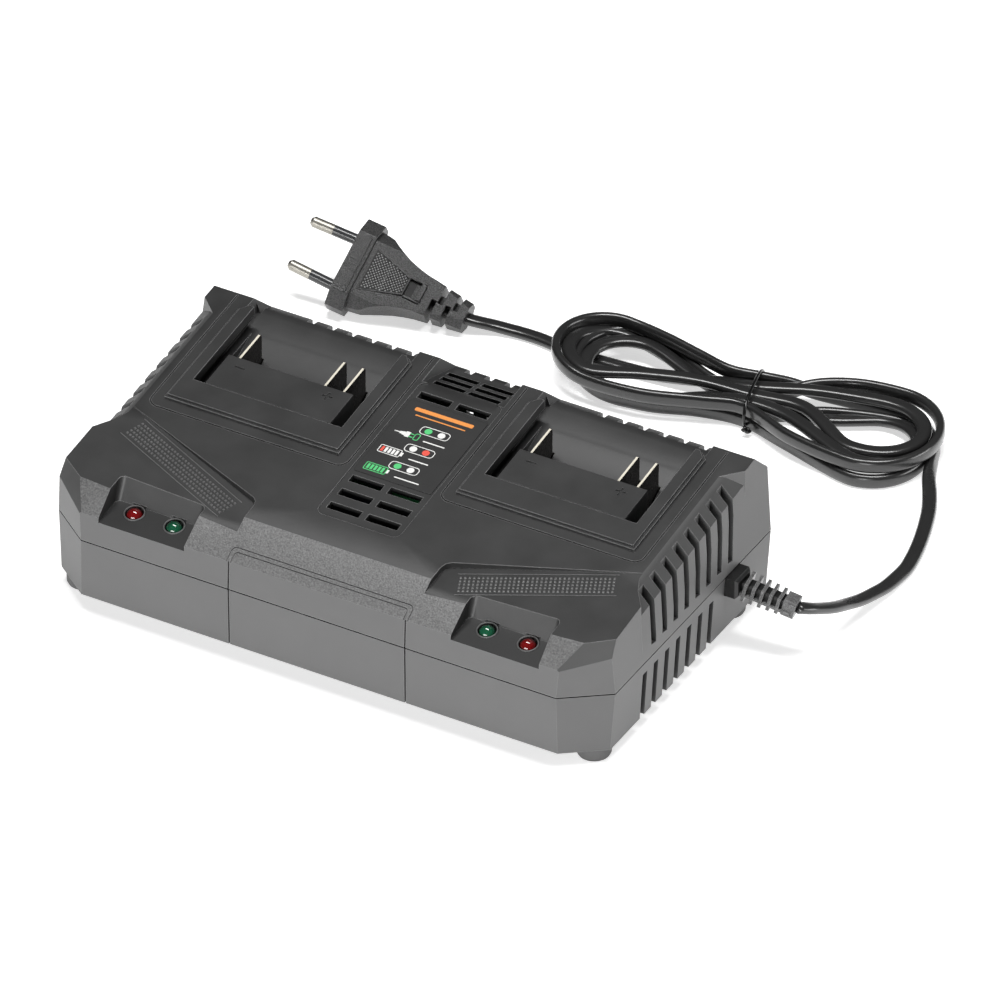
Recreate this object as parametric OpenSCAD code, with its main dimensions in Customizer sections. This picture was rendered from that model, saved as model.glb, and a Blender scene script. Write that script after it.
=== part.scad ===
// Two-bay charger for slide-on power tool batteries, with its mains lead.
// Millimetres. Origin at the middle of the case's footprint, on the surface it stands on.
// +X is the side the lead leaves, +Y is the rear, +Z is up.

/* [Case] */
// Width of the case across its side walls
case_w = 216; // [208:1:230]
// Depth of the case from front wall to rear wall
case_d = 121; // [118:1:132]
// Height of the lower shell, up to the joint line
base_h = 23; // [22:0.5:27]
// Thickness of the walls of both shells
wall = 2.5; // [2:0.1:3]
// Inward lean of a lower side wall from the joint line to the bottom
base_draft = 1.2; // [0.4:0.1:2]
// Inward lean of an upper side wall from the joint line to the top
cover_draft = 2.4; // [1.5:0.1:3]
// Width of the cut-off front corners
corner_w = 16; // [13:0.5:18]
// Depth of the cut-off front corners
corner_d = 12; // [9:0.5:13]
// Width of the dark groove between the two shells
joint_gap = 0.4; // [0.2:0.1:0.8]

/* [Front] */
// Height of the upright front band above the joint line
band_h = 11; // [9:0.5:13]
// Depth of the sloping strip above the band
strip_run = 14; // [12:0.5:16]
// Rise of the sloping strip above the band
strip_rise = 9; // [8:0.5:10]
// Distance from the middle to each upright front groove
groove_x = 34.2; // [30:0.2:35]
// Width and depth of the fine grooves in the case
groove_w = 0.5; // [0.3:0.1:0.8]
// Depth of the front corner areas below the deck
sunk_d = 2.4; // [1.8:0.1:3]

/* [Deck] */
// Slope of the deck in degrees, rising towards the rear
deck_angle = 7.7; // [6:0.1:9]
// Depth of the bevel along the top rear edge
rear_run = 8.3; // [7:0.1:10]
// Drop of the bevel along the top rear edge
rear_drop = 7.8; // [7:0.1:9]
// Width of the low shoulder beside the deck
shoulder_w = 9.2; // [8:0.1:10]
// Drop of the shoulder's sloping face
shoulder_drop = 4.2; // [3.5:0.1:5]
// Depth of the raised label field's recess
field_d = 0.4; // [0.2:0.1:0.7]
// Half width of the middle field with the label
field_half = 16; // [15:0.2:17]

/* [Docks] */
// Distance between the middles of the two docks
dock_pitch = 114; // [112:0.5:117]
// Half width of a dock's raised pad
pad_half = 34.3; // [33:0.1:35]
// Height of the raised pad above the deck
pad_h = 2; // [1.5:0.1:2.5]
// Front edge of the raised pad, from the front wall
pad_y = 54.8; // [53:0.2:57]
// Distance from the rear wall to the rear ends of the rails
rail_end = 14; // [12:0.5:16]
// Half width of the dock's opening between the rails
dock_half = 29.2; // [28.5:0.1:30]
// Front wall of the dock's opening, from the front wall
dock_y = 65.5; // [64:0.1:67]
// Thickness of a rail's overhanging lip
rail_t = 3.4; // [3:0.1:4]
// Depth of the slot under a rail, sideways
rail_slot = 3; // [2.5:0.1:3.5]
// Height of the slot under a rail
rail_slot_h = 6; // [5:0.5:7]
// Height of the deepest dock floor above the joint line
dock_floor = 11; // [10:0.5:12]
// Width of the fine frame around each dock
frame_w = 4.7; // [4:0.1:5]

/* [Terminals] */
// Half width of a terminal block
block_half = 24.5; // [23.5:0.1:25]
// Depth of a terminal block
block_d = 16.2; // [15:0.1:18]
// Thickness of a terminal blade
blade_t = 0.8; // [0.6:0.1:1.2]
// Length of a blade behind its block
blade_out = 14.6; // [12:0.2:16]
// Height of a blade
blade_h = 14; // [13:0.5:15]
// Drop of a blade's top edge below the top of its block
blade_low = 0.5; // [0.3:0.1:1]
// Place of the minus blade across a dock
blade_x1 = -20.5; // [-21.5:0.5:-19]
// Place of the inner charging blade
blade_x2 = 13.1; // [12:0.1:14]
// Place of the outer charging blade
blade_x3 = 20.5; // [19:0.5:21.5]

/* [Lamps] */
// Distance from the middle to each lamp pocket
pocket_x = 68.4; // [67:0.1:71]
// Half width of a lamp pocket
pocket_half = 16.8; // [15:0.1:18]
// Distance between the two lamps of a pocket
lamp_pitch = 15.6; // [14:0.2:17]
// Diameter of a lamp
lamp_d = 5.8; // [5:0.1:6]
// Place of the lamps behind the front wall
lamp_y = 9.2; // [8.6:0.1:9.6]

/* [Vents] */
// Number of slots in each upper side wall
side_slots = 8; // [6:1:8]
// Width of an upper side slot
side_slot_w = 3.3; // [2.8:0.1:3.6]
// Distance between the upper side slots
side_slot_pitch = 7.65; // [7:0.05:7.8]
// Number of slots in each lower side wall
low_slots = 7; // [5:1:7]
// Width of a lower side slot
low_slot_w = 3.1; // [2.8:0.1:3.6]
// Distance between the lower side slots
low_slot_pitch = 7.73; // [7:0.01:7.8]
// Distance between the rear slots
rear_slot_pitch = 7.85; // [7.4:0.05:8]
// Width of a rear slot
rear_slot_w = 2.7; // [2.2:0.1:3.2]
// Width of a slot in the grilles of the middle field
grille_w = 12.4; // [11:0.1:12.6]
// Depth of a slot in the grilles of the middle field
grille_d = 3.4; // [2.8:0.1:4]

/* [Feet and screws] */
// Diameter of a rubber foot
foot_d = 12; // [10:0.5:13]
// Height of a rubber foot under the case
foot_h = 5; // [3:0.5:7]
// Depth of the seat that holds a foot
foot_seat = 1; // [0.6:0.1:1.4]
// Diameter of a case screw
screw_d = 3; // [2.6:0.1:3.4]
// Diameter of a screw boss
boss_d = 8; // [7.5:0.1:8.5]
// Diameter of a circuit board screw
board_screw_d = 2.5; // [2.2:0.1:2.9]
// Height of the posts under the circuit board
post_h = 5; // [4:0.5:6]
// Thickness of the circuit boards
board_t = 1.6; // [1.2:0.1:2]

/* [Mains lead] */
// Width of the flat lead
cord_w = 5.4; // [5:0.1:6]
// Thickness of the flat lead
cord_t = 3.2; // [2.8:0.1:3.6]
// Width of the strain relief where it leaves the wall
gland_w = 10.1; // [9.5:0.1:11]
// Height of the strain relief where it leaves the wall
gland_h = 7.3; // [7:0.1:8]
// Height of the bundle of folded lead
hank_h = 13; // [12:0.5:15]
// Length of a plug pin
pin_len = 19; // [18:0.5:20]
// Diameter of a plug pin
pin_d = 4; // [3.8:0.1:4.2]
// Distance between the tips of the plug pins
pin_pitch = 17.5; // [17:0.1:18.6]

/* [Hidden] */

$fn = 48;
far = 400;
clear = 0.15;

half_w = case_w / 2;
front_half = half_w - corner_w;
band_lean = 0.5;
band_z = base_h + band_h;
deck_y = band_lean + strip_run;
deck_z = band_z + strip_rise;
rear_y = case_d - rear_run;
rise = tan(deck_angle);
function deck_at(y) = deck_z + (y - deck_y) * rise;
function along(y) = (y - deck_y) / cos(deck_angle);
rear_z = deck_at(rear_y) - rear_drop;
top_z = deck_at(rear_y);

// The low front corner areas: their depth fades sideways and rearwards.
sunk_x = groove_x + 2;
sunk_fade_x = 0.031;
sunk_fade_y = 0.012;
sunk_edge = [[sunk_x + 1.2, 24], [half_w - 19.2, 43.2], [half_w - 6.5, 47.9]];
strip_mid_half = pocket_x;
outer_slope = 0.9;

// The deck narrows to this half width between the shoulders.
deck_half = half_w - shoulder_w;
shoulder_front = [[deck_half, 45], [deck_half + 2.7, 38.9], [half_w - 1.2, 31.6], [half_w + 4, 30]];
shoulder_lip = 0.8;
shoulder_rear = case_d - 21.1;
block_rear = case_d - 15;

dock_x = dock_pitch / 2;
dock_floor_z = base_h + dock_floor;
rim_y = case_d - 5;
rim_z = deck_at(rim_y) - 6.3;
ledge_rise = 0.3;
tub_t = 2;
// Height of the dock floor, which falls ever more steeply from its rear rim.
function floor_at(y) = max(dock_floor_z, rim_z - 0.13 * (rim_y - y) - 0.0098 * pow(rim_y - y, 2));

block_y = dock_y + clear;
block_top = pad_h;
board_top = wall + post_h + board_t;
blade_root = 8;
mark_len = 4;
mark_w = 0.9;

pocket_floor_y = 12.5;
pocket_floor_z = band_z + 0.4;
pocket_front_z = band_z - 1.7;
pocket_tilt = 10.5;
pocket_lean = 24.7;
pocket_r = 2;
lamp_board_z = base_h + 1;

post_x = half_w - 28;
post_y = [34, case_d - 24];
boss_places = [[-(half_w - 10), 26], [half_w - 10, 26],
               [-(half_w - 18), case_d - 9], [half_w - 18, case_d - 9]];
foot_places = [[-(half_w - 8.7), 13.5], [half_w - 8.7, 13.5],
               [-(half_w - 8.7), case_d - 13.5], [half_w - 8.7, case_d - 13.5]];

gland_y = case_d - 32.3;
gland_z = base_h - joint_gap - gland_h;
gland_flange = 1.6;

// Route of the lead from the strain relief to the bundle, and from the bundle to the plug.
lead_route = [
    [131, 36.5, 18.6], [133.5, 40, 17], [135.3, 45, 14.5], [137, 51.5, 11.5], [138, 60, 8], [139.2, 67.5, 5.5],
    [140.2, 75.5, 3.6], [141.1, 82.5, 2.4], [141.5, 90, 1.8], [141.6, 96, 1.6], [140.8, 102, 1.6],
    [139.3, 109, 1.6], [137.4, 116, 1.6], [135, 123.5, 1.6], [132.2, 131, 1.6], [128.6, 138.5, 1.6],
    [124.8, 145.4, 1.6], [122.8, 149.5, 1.6],
];
tail_route = [
    [-63, 149.7, 5.6], [-60.3, 149.9, 5], [-57, 151.2, 4.2], [-52.5, 153.6, 2.9], [-47, 155.2, 2],
    [-41, 156, 1.7], [-34, 155.9, 1.7], [-27, 155, 1.7], [-20.5, 154.1, 1.7],
];

// The folded bundle: two round lobes and a narrow waist where it is tied.
hank_left = [3, 149];
hank_left_r = 25;
hank_right = [96, 152.5];
hank_right_r = 29;
hank_waist_x = 51;
hank_waist_y = 150;
hank_waist_half = 17;
tie_w = 1.6;

// The plug lies on a corner of its flange and on the end of its collar.
plug_at = [-107.5, 146.9, 14.5];
plug_yaw = 3.6;
plug_dip = 11.2;
plug_roll = 37.6;
flange_len = 7;
flange_half = 17.2;
flange_t = 13.2;
// Half width and half thickness of the plug's body at distances behind the flange's face.
plug_edge = [[flange_len - 0.1, 15.2], [12, 14.3], [15, 12.4], [18, 10.8], [21.5, 9.2], [25.5, 8], [29.5, 7.1],
             [34, 6.7], [48, 5.2]];
plug_cheek = [[flange_len - 0.1, 6.1], [16, 6], [31, 5.5], [48, 4.9]];
// The collar ends here, and its corners are cut where half width and half thickness add up to this.
collar_end = 48;
collar_corner = 7.2;
slot_w = 2;
slot_left = [34.5, 40.1];
slot_right = [36.9, 42.8];
pin_base_pitch = pin_pitch + 1.1;
sleeve_len = 10;
pin_core_d = 2.6;

// ---------- helpers ----------

module in_place() {
    translate([0, -case_d / 2, foot_h]) children();
}

module both_sides() {
    children();
    mirror([1, 0, 0]) children();
}

// A shape drawn in Y and Z, extruded across X.
module across(width) {
    rotate([90, 0, 90]) linear_extrude(height = width, center = true) children();
}

// A shape drawn in X and Z, extruded along Y from the given start.
module lengthways(start, length) {
    translate([0, start + length, 0]) rotate([90, 0, 0]) linear_extrude(height = length) children();
}

// Everything past the plane through a point, on the side that a direction points to.
module beyond(at, away) {
    translate(at)
        rotate([0, acos(away[2] / norm(away)), atan2(away[1], away[0])])
            translate([-far / 2, -far / 2, 0]) cube(far);
}

module beyond_three(a, b, c) {
    beyond(a, cross(b - a, c - a));
}

module on_deck() {
    translate([0, deck_y, deck_z]) rotate([deck_angle, 0, 0]) children();
}

module rounded_rect(x0, y0, x1, y1, r) {
    translate([x0 + r, y0]) square([x1 - x0 - 2 * r, y1 - y0]);
    translate([x0, y0 + r]) square([x1 - x0, y1 - y0 - 2 * r]);
    for (x = [x0 + r, x1 - r], y = [y0 + r, y1 - r]) translate([x, y]) circle(r);
}

// A rounded outline of the given line width.
module outline(x0, y0, x1, y1, r, w) {
    difference() {
        rounded_rect(x0, y0, x1, y1, r);
        rounded_rect(x0 + w, y0 + w, x1 - w, y1 - w, r - w);
    }
}

// ---------- case outlines ----------

module case_plan(inset) {
    cut = inset * 0.5;
    polygon([
        [-front_half + cut, inset], [front_half - cut, inset],
        [half_w - inset, corner_d + cut], [half_w - inset, case_d - inset],
        [-half_w + inset, case_d - inset], [-half_w + inset, corner_d + cut],
    ]);
}

module base_body(inset) {
    low = inset > 0 ? inset : 0;
    intersection() {
        translate([0, 0, low]) linear_extrude(height = base_h) case_plan(inset);
        lengthways(-1, case_d + 2) polygon([
            [-half_w + base_draft + inset, 0], [half_w - base_draft - inset, 0],
            [half_w - inset, base_h], [half_w - inset, base_h + 1],
            [-half_w + inset, base_h + 1], [-half_w + inset, base_h],
        ]);
        across(case_w + 2) polygon([
            [base_draft / 3 + inset, 0], [inset, base_h], [inset, base_h + (inset > 0 ? 1 : 0)],
            [case_d - inset, base_h + (inset > 0 ? 1 : 0)], [case_d - inset, base_h],
            [case_d - base_draft / 3 - inset, 0],
        ]);
    }
}

// Side view of the cover's outside.
module cover_side() {
    meet_y = (deck_z - band_z + outer_slope * band_lean - deck_y * rise) / (outer_slope - rise);
    polygon([
        [0, base_h], [band_lean, band_z], [meet_y, deck_at(meet_y)],
        [rear_y, top_z], [case_d, rear_z], [case_d, base_h],
    ]);
}

// What is cut from the sloping strip between the lamp pockets, where it is flatter.
module strip_cut() {
    across(2 * strip_mid_half) polygon([
        [band_lean, band_z], [deck_y, deck_z], [deck_y - 1, deck_z + 6], [-5, deck_z + 6], [-5, band_z],
    ]);
}

module sunken_front() {
    intersection() {
        linear_extrude(height = far / 2) polygon([
            [sunk_x, -5], [sunk_x, 14.3], sunk_edge[0] - [1.1, 3], sunk_edge[0] - [0.4, 0.9], sunk_edge[0] + [1, 0.4],
            sunk_edge[1], sunk_edge[2], [half_w + 5, 48], [half_w + 5, -5],
        ]);
        beyond([sunk_x + 1, 10.3, deck_at(10.3) - sunk_d], [-sunk_fade_x, -rise - sunk_fade_y, 1]);
    }
}

// The flat that cuts the corner between the front band, the corner wall and the deck.
module corner_flat() {
    beyond_three([front_half, band_lean, band_z], [half_w - 0.8, corner_d, band_z + 4.2],
                 [front_half + 5, 8.4, deck_z - 1.9]);
}

module shoulder_cut() {
    intersection() {
        on_deck() lengthways(0, case_d + 20) polygon([
            [deck_half, 0], [deck_half + 1.9, -shoulder_lip],
            [half_w - cover_draft + 0.1, -shoulder_lip - shoulder_drop],
            [half_w + 0.3, -22], [half_w + 20, -22], [half_w + 20, 8], [deck_half, 8],
        ]);
        linear_extrude(height = far / 2) polygon(concat(shoulder_front,
            [[half_w + 20, 30], [half_w + 20, case_d + 5], [deck_half, case_d + 5]]));
        beyond_three([deck_half, shoulder_rear, deck_at(shoulder_rear)],
                     [half_w - 0.4, shoulder_rear + 1.8, base_h + 2],
                     [half_w - 2.4, block_rear, deck_at(block_rear)]);
    }
}

// The small flat at each top rear corner.
module rear_corner_flat() {
    intersection() {
        beyond_three([half_w - 2, case_d - 5.5, rear_z + 4.7], [half_w, case_d - 1.2, rear_z - 2.4],
                     [half_w - 0.6, case_d, rear_z + 0.6]);
        translate([half_w - 10, case_d - 6, rear_z - 3]) cube([20, 12, 20]);
    }
}

module cover_body() {
    difference() {
        intersection() {
            linear_extrude(height = far / 4) case_plan(0);
            across(case_w + 2) cover_side();
            lengthways(-1, case_d + 2) polygon([
                [-half_w, base_h], [half_w, base_h],
                [half_w - cover_draft, top_z + 0.5], [-half_w + cover_draft, top_z + 0.5],
            ]);
        }
        strip_cut();
        both_sides() {
            sunken_front();
            corner_flat();
            shoulder_cut();
            rear_corner_flat();
        }
    }
}

// The room inside the cover.
module cover_room() {
    roof = wall + 0.1;
    low_roof = roof + sunk_d;
    step_y = 49;
    difference() {
        intersection() {
            translate([0, 0, base_h - 1]) linear_extrude(height = far / 4) case_plan(wall);
            across(case_w) polygon([
                [wall, base_h - 1], [wall + band_lean, band_z - 2],
                [deck_y, deck_z - low_roof], [step_y, deck_at(step_y) - low_roof],
                [step_y, deck_at(step_y) - roof], [rear_y - 1.5, deck_at(rear_y - 1.5) - roof],
                [case_d - wall, rear_z - 1.2], [case_d - wall, base_h - 1],
            ]);
            on_deck() lengthways(-30, case_d + 60) polygon([
                [-half_w + wall, -45], [-half_w + wall, -22], [-half_w + cover_draft + wall, -shoulder_drop - 2.4],
                [-deck_half + 0.8, -wall], [-deck_half + 3, 5], [deck_half - 3, 5], [deck_half - 0.8, -wall],
                [half_w - cover_draft - wall, -shoulder_drop - 2.4], [half_w - wall, -22], [half_w - wall, -45],
            ]);
        }
        both_sides() corner_room_limit();
    }
}

// Keeps the wall's thickness behind the corner flat.
module corner_room_limit() {
    beyond([front_half + 2, band_lean + wall + 1, band_z - 3], [0.42, -0.62, 0.66]);
}

// ---------- lamp pockets ----------

// The pocket's space, grown by a wall's thickness where asked.
module pocket_space(grow) {
    intersection() {
        translate([0, pocket_floor_y, pocket_floor_z]) rotate([-pocket_lean, 0, 0])
            translate([0, 0, -20]) linear_extrude(height = 40) union() {
                translate([-pocket_half - grow, -40]) square([2 * (pocket_half + grow), 40 + grow - pocket_r]);
                translate([-pocket_half - grow + pocket_r, -40]) square([2 * (pocket_half + grow - pocket_r), 40 + grow]);
                for (side = [-1, 1])
                    translate([side * (pocket_half + grow - pocket_r), grow - pocket_r]) circle(pocket_r);
            }
        beyond([0, pocket_floor_y, pocket_floor_z - grow], [0, -sin(pocket_tilt), cos(pocket_tilt)]);
    }
}

module lamp_places() {
    for (side = [-1, 1]) translate([side * lamp_pitch / 2, lamp_y, 0]) children();
}

module lamp_holes() {
    lamp_places() translate([0, 0, base_h]) cylinder(d = lamp_d + 0.5, h = 20);
    lamp_places() translate([0, 0, band_z - 0.9]) cylinder(d1 = lamp_d + 0.5, d2 = lamp_d + 3.5, h = 2);
}

// ---------- docks ----------

module pad() {
    step = 0.9;
    rear = along(case_d - rail_end);
    front = along(pad_y);
    on_deck() {
        translate([0, 0, -1]) linear_extrude(height = 1 + pad_h * 0.55)
            polygon([[-pad_half, front], [pad_half, front], [pad_half, rear - 2.5], [pad_half - 2.5, rear],
                     [-pad_half + 2.5, rear], [-pad_half, rear - 2.5]]);
        translate([0, 0, -1]) linear_extrude(height = 1 + pad_h)
            polygon([[-pad_half + step, front + step], [pad_half - step, front + step],
                     [pad_half - step, rear - 3], [pad_half - 3.4, rear],
                     [-pad_half + 3.4, rear], [-pad_half + step, rear - 3]]);
    }
}

// Side view of the dock's space, down to its floor, or to under its floor.
module dock_side(drop) {
    y0 = dock_y - (drop > 0 ? tub_t : 0);
    curve_from = dock_y + block_d;
    steps = 14;
    polygon(concat(
        [[y0, far / 4], [y0, dock_floor_z - drop]],
        [for (i = [0:steps])
            let (y = curve_from + (rim_y - curve_from) * i / steps)
            [y, floor_at(y) - drop]],
        [[case_d + 2, rear_z + ledge_rise - drop], [case_d + 2, far / 4]]
    ));
}

module dock_tub() {
    reach = dock_half + rail_slot + tub_t;
    intersection() {
        across(2 * reach) dock_side(tub_t);
        cover_body();
    }
}

module dock_space() {
    rear = case_d - rail_end;
    slot_top = pad_h - rail_t;
    // between the rails
    across(2 * dock_half) dock_side(0);
    // behind the rails, with leaning sides
    intersection() {
        across(case_w) dock_side(0);
        on_deck() lengthways(along(rear), 40) polygon([
            [-dock_half - 1, -8], [dock_half + 1, -8], [dock_half + 3.6, 0],
            [dock_half + 3.6, 10], [-dock_half - 3.6, 10], [-dock_half - 3.6, 0],
        ]);
    }
    // the slots under the rails
    intersection() {
        across(case_w) dock_side(0);
        on_deck() lengthways(along(dock_y), along(rear) - along(dock_y) + 6)
            translate([-dock_half - rail_slot, slot_top - rail_slot_h])
                square([2 * (dock_half + rail_slot), rail_slot_h]);
    }
    // the way through the floor for the terminal block and the blades
    translate([-block_half - clear, dock_y, base_h])
        cube([2 * (block_half + clear), block_d + 2 * clear, dock_floor + 5]);
    for (x = [blade_x1, blade_x2, blade_x3])
        translate([x - blade_t / 2 - 0.3, dock_y + block_d, base_h])
            cube([blade_t + 0.6, blade_out + 1, 24]);
}

module dock_frame() {
    on_deck() translate([0, 0, -groove_w * 0.8]) linear_extrude(height = 5) difference() {
        outline(-pad_half - frame_w, along(pad_y - frame_w), pad_half + frame_w, along(case_d) + 20, 4, groove_w);
        translate([-60, along(rear_y) - 1]) square([120, 60]);
    }
}

module rear_slots() {
    for (i = [0:5])
        translate([-14.3 + i * rear_slot_pitch, rim_y + 1, base_h + 8])
            cube([rear_slot_w, 12, far / 4]);
}

module each_dock() {
    for (side = [-1, 1]) translate([side * dock_x, 0, 0]) children();
}

// ---------- middle field ----------

module grille_pair() {
    for (x = [-13.8, 1.1]) translate([x, 0]) square([grille_w, grille_d]);
}

module middle_field() {
    ramp_y = case_d - 21.2;
    ramp_top = deck_at(ramp_y) - field_d;
    // shallow field
    on_deck() translate([0, 0, -field_d]) linear_extrude(height = 6)
        rounded_rect(-field_half, along(27), field_half, along(ramp_y), 3);
    // ramp down to the rear
    intersection() {
        across(60) polygon([[ramp_y, ramp_top], [rim_y, rim_z], [case_d + 2, rear_z + ledge_rise],
                            [case_d + 2, 80], [ramp_y, 80]]);
        on_deck() lengthways(along(ramp_y) - 2, 40)
            polygon([[-field_half + 2, -7.5], [field_half - 2, -7.5], [field_half, 0], [field_half, 10],
                     [-field_half, 10], [-field_half, 0]]);
    }
    // slots
    on_deck() for (y = [30.7, 38.1, 45.5, case_d - 28.9])
        translate([0, along(y), -9]) linear_extrude(height = 14) grille_pair();
    for (i = [0:2])
        translate([0, ramp_y + 1.6 + i * 4.6, deck_at(ramp_y) - 10]) linear_extrude(height = 20)
            for (x = [-12.9, 0.6]) translate([x, 0]) square([grille_w - 0.3, grille_d - 0.7]);
    // slots over the rear wall
    for (i = [-1:1])
        translate([i * rear_slot_pitch - rear_slot_w / 2, rim_y + 1, base_h + 8]) cube([rear_slot_w, 12, far / 4]);
}

// The floor under the ramp.
module ramp_floor() {
    ramp_y = case_d - 21.2;
    intersection() {
        across(2 * field_half + 3) polygon([
            [ramp_y - 3, deck_at(ramp_y) - wall - 1], [rim_y, rim_z - wall], [case_d, rear_z - wall],
            [case_d, far / 4], [ramp_y - 3, far / 4]]);
        cover_body();
    }
}

module front_grooves(z0, z1) {
    both_sides() translate([groove_x - groove_w / 2, -1, z0])
        cube([groove_w, 1 + groove_w + band_lean, z1 - z0]);
}

// The fine double outline on the sloping strip between the grooves.
module strip_outline() {
    slope = atan(strip_rise / strip_run);
    translate([0, band_lean, band_z]) rotate([slope, 0, 0]) translate([0, 0, -groove_w * 0.5])
        linear_extrude(height = 4) {
            outline(-groove_x - 1, -4, groove_x + 1, 5.8, 2, groove_w * 0.7);
            outline(-groove_x + 0.6, -4, groove_x - 0.6, 4.2, 1.4, groove_w * 0.7);
        }
}

// ---------- vents ----------

module upper_side_slots() {
    lean = 8;
    for (i = [0:side_slots - 1])
        translate([deck_half + 2.2, 37.2 + i * side_slot_pitch, base_h + 4.1]) rotate([-lean, 0, 0])
            cube([30, side_slot_w, 30]);
}

module lower_side_slots() {
    for (i = [0:low_slots - 1])
        translate([half_w - wall - base_draft - 0.6, 31.4 + i * low_slot_pitch, -1])
            cube([30, low_slot_w, base_h - 4.6 + 1]);
}

module bottom_vents() {
    for (side = [-1, 1], i = [0:6])
        translate([side * 40 - 20 + i * 6, case_d / 2 - 18, -1]) cube([2.6, 36, wall + 2]);
}

// ---------- the shells ----------

module base_shell() {
    color("#3a3a3a") in_place() difference() {
        union() {
            difference() {
                base_body(0);
                base_body(wall);
                both_sides() lower_side_slots();
                bottom_vents();
            }
            for (p = boss_places) translate([p[0], p[1], wall / 2])
                cylinder(d = boss_d, h = base_h - joint_gap - wall / 2);
            for (x = [-post_x, post_x], y = post_y) translate([x, y, wall / 2])
                cylinder(d = 7, h = wall / 2 + post_h);
        }
        // joint groove
        translate([-far / 2, -far / 2, base_h - joint_gap]) cube([far, far, 5]);
        front_grooves(-1, base_h);
        for (p = boss_places) translate([p[0], p[1], -1]) {
            cylinder(d = screw_d + 0.5, h = base_h + 2);
            cylinder(d = screw_d * 2 + 0.6, h = 1 + wall);
        }
        for (x = [-post_x, post_x], y = post_y) translate([x, y, wall])
            cylinder(d = board_screw_d + 0.1, h = post_h + 1);
        for (p = foot_places) translate([p[0], p[1], -1]) cylinder(d = foot_d + 0.2, h = 1 + foot_seat);
        gland_notch();
    }
}

// The notch in the lower side wall for the strain relief.
module gland_notch() {
    translate([half_w - wall - 1.5, gland_y - clear, gland_z - clear])
        cube([10, gland_w + 2 * clear, base_h]);
    translate([half_w - wall - 1.5, gland_y - gland_flange - clear, gland_z - gland_flange - clear])
        cube([1.5 - base_draft * 0.3 , gland_w + 2 * (gland_flange + clear), base_h]);
}

module cover_bosses() {
    intersection() {
        for (p = boss_places) translate([p[0], p[1], base_h]) cylinder(d = boss_d, h = far / 4);
        cover_body();
    }
}

module lamp_posts() {
    intersection() {
        both_sides() for (x = [-1, 1]) translate([pocket_x + x * (pocket_half - 2.6), lamp_y, lamp_board_z + board_t])
            cylinder(d = 4, h = 12);
        cover_body();
    }
}

module polarity_mark() {
    square([mark_len, mark_w], center = true);
    children();
}

module top_cover() {
    color("#404040") in_place() difference() {
        union() {
            difference() {
                cover_body();
                difference() {
                    cover_room();
                    both_sides() translate([pocket_x, 0, 0]) pocket_space(wall);
                }
            }
            each_dock() dock_tub();
            ramp_floor();
            each_dock() pad();
            cover_bosses();
            lamp_posts();
        }
        both_sides() translate([pocket_x, 0, 0]) {
            pocket_space(0);
            lamp_holes();
        }
        each_dock() {
            dock_space();
            dock_frame();
            rear_slots();
        }
        middle_field();
        both_sides() upper_side_slots();
        front_grooves(base_h - 1, band_z);
        strip_outline();
        for (p = boss_places) translate([p[0], p[1], base_h - 1]) cylinder(d = screw_d, h = 13);
    }
}

module label_plate() {
    color("#2b2b2b") in_place() on_deck() translate([0, 0, -field_d]) linear_extrude(height = field_d * 0.6)
        rounded_rect(-field_half + 0.9, along(51), field_half - 0.9, along(case_d - 30.1), 1);
}

// ---------- small case parts ----------

module foot(place) {
    color("#1c1c1c") in_place() translate([place[0], place[1], -foot_h]) {
        cylinder(d1 = foot_d - 1, d2 = foot_d, h = 1);
        translate([0, 0, 1]) cylinder(d = foot_d, h = foot_h - 1 + foot_seat);
    }
}

module case_screw(place) {
    head_z = 0.4;
    color("#8c8c8c") in_place() translate([place[0], place[1], 0]) difference() {
        union() {
            translate([0, 0, head_z]) cylinder(d = screw_d * 2, h = wall - head_z);
            translate([0, 0, head_z]) cylinder(d = screw_d - 0.1, h = base_h + 10 - head_z);
        }
        translate([-2, -0.3, head_z - 1]) cube([4, 0.6, 2]);
        translate([-0.3, -2, head_z - 1]) cube([0.6, 4, 2]);
    }
}

module board_screw(x, y) {
    color("#b5b5b5") in_place() translate([x, y, board_top]) {
        cylinder(d = board_screw_d * 2, h = 1.8);
        translate([0, 0, -board_t - post_h + 1]) cylinder(d = board_screw_d, h = board_t + post_h);
    }
}

// ---------- terminals ----------

module terminal_block(side) {
    y1 = block_d - 2 * clear;
    color("#383838") in_place() translate([side * dock_x, block_y, 0]) difference() {
        intersection() {
            translate([-block_half, 0, board_top]) cube([2 * block_half, y1, far / 4]);
            translate([0, -block_y, 0]) on_deck() translate([-50, -50, -80]) cube([100, 200, 80 + block_top]);
        }
        // hollow from below
        translate([-block_half + 2, 2, board_top - 1])
            cube([2 * block_half - 4, y1 - 4, dock_floor_z - board_top - 3]);
        for (x = [blade_x1, blade_x2, blade_x3])
            translate([x - blade_t / 2 - 0.05, y1 - blade_root - 0.1, 0]) blade_kerf();
        translate([0, -block_y, 0]) on_deck() translate([0, along(block_y + block_d / 2), block_top - 0.35])
            linear_extrude(height = 2) {
                translate([blade_x1 + 2.8, 3.6]) polarity_mark();
                translate([blade_x3 - 3.7, 3.6]) polarity_mark() rotate(90) square([mark_len, mark_w], center = true);
            }
    }
}

// The slit in a block that holds a blade's root.
module blade_kerf() {
    translate([0, 0, deck_at(block_y + block_d) - blade_h - 1]) cube([blade_t + 0.1, 20, blade_h - 0.5]);
}

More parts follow.
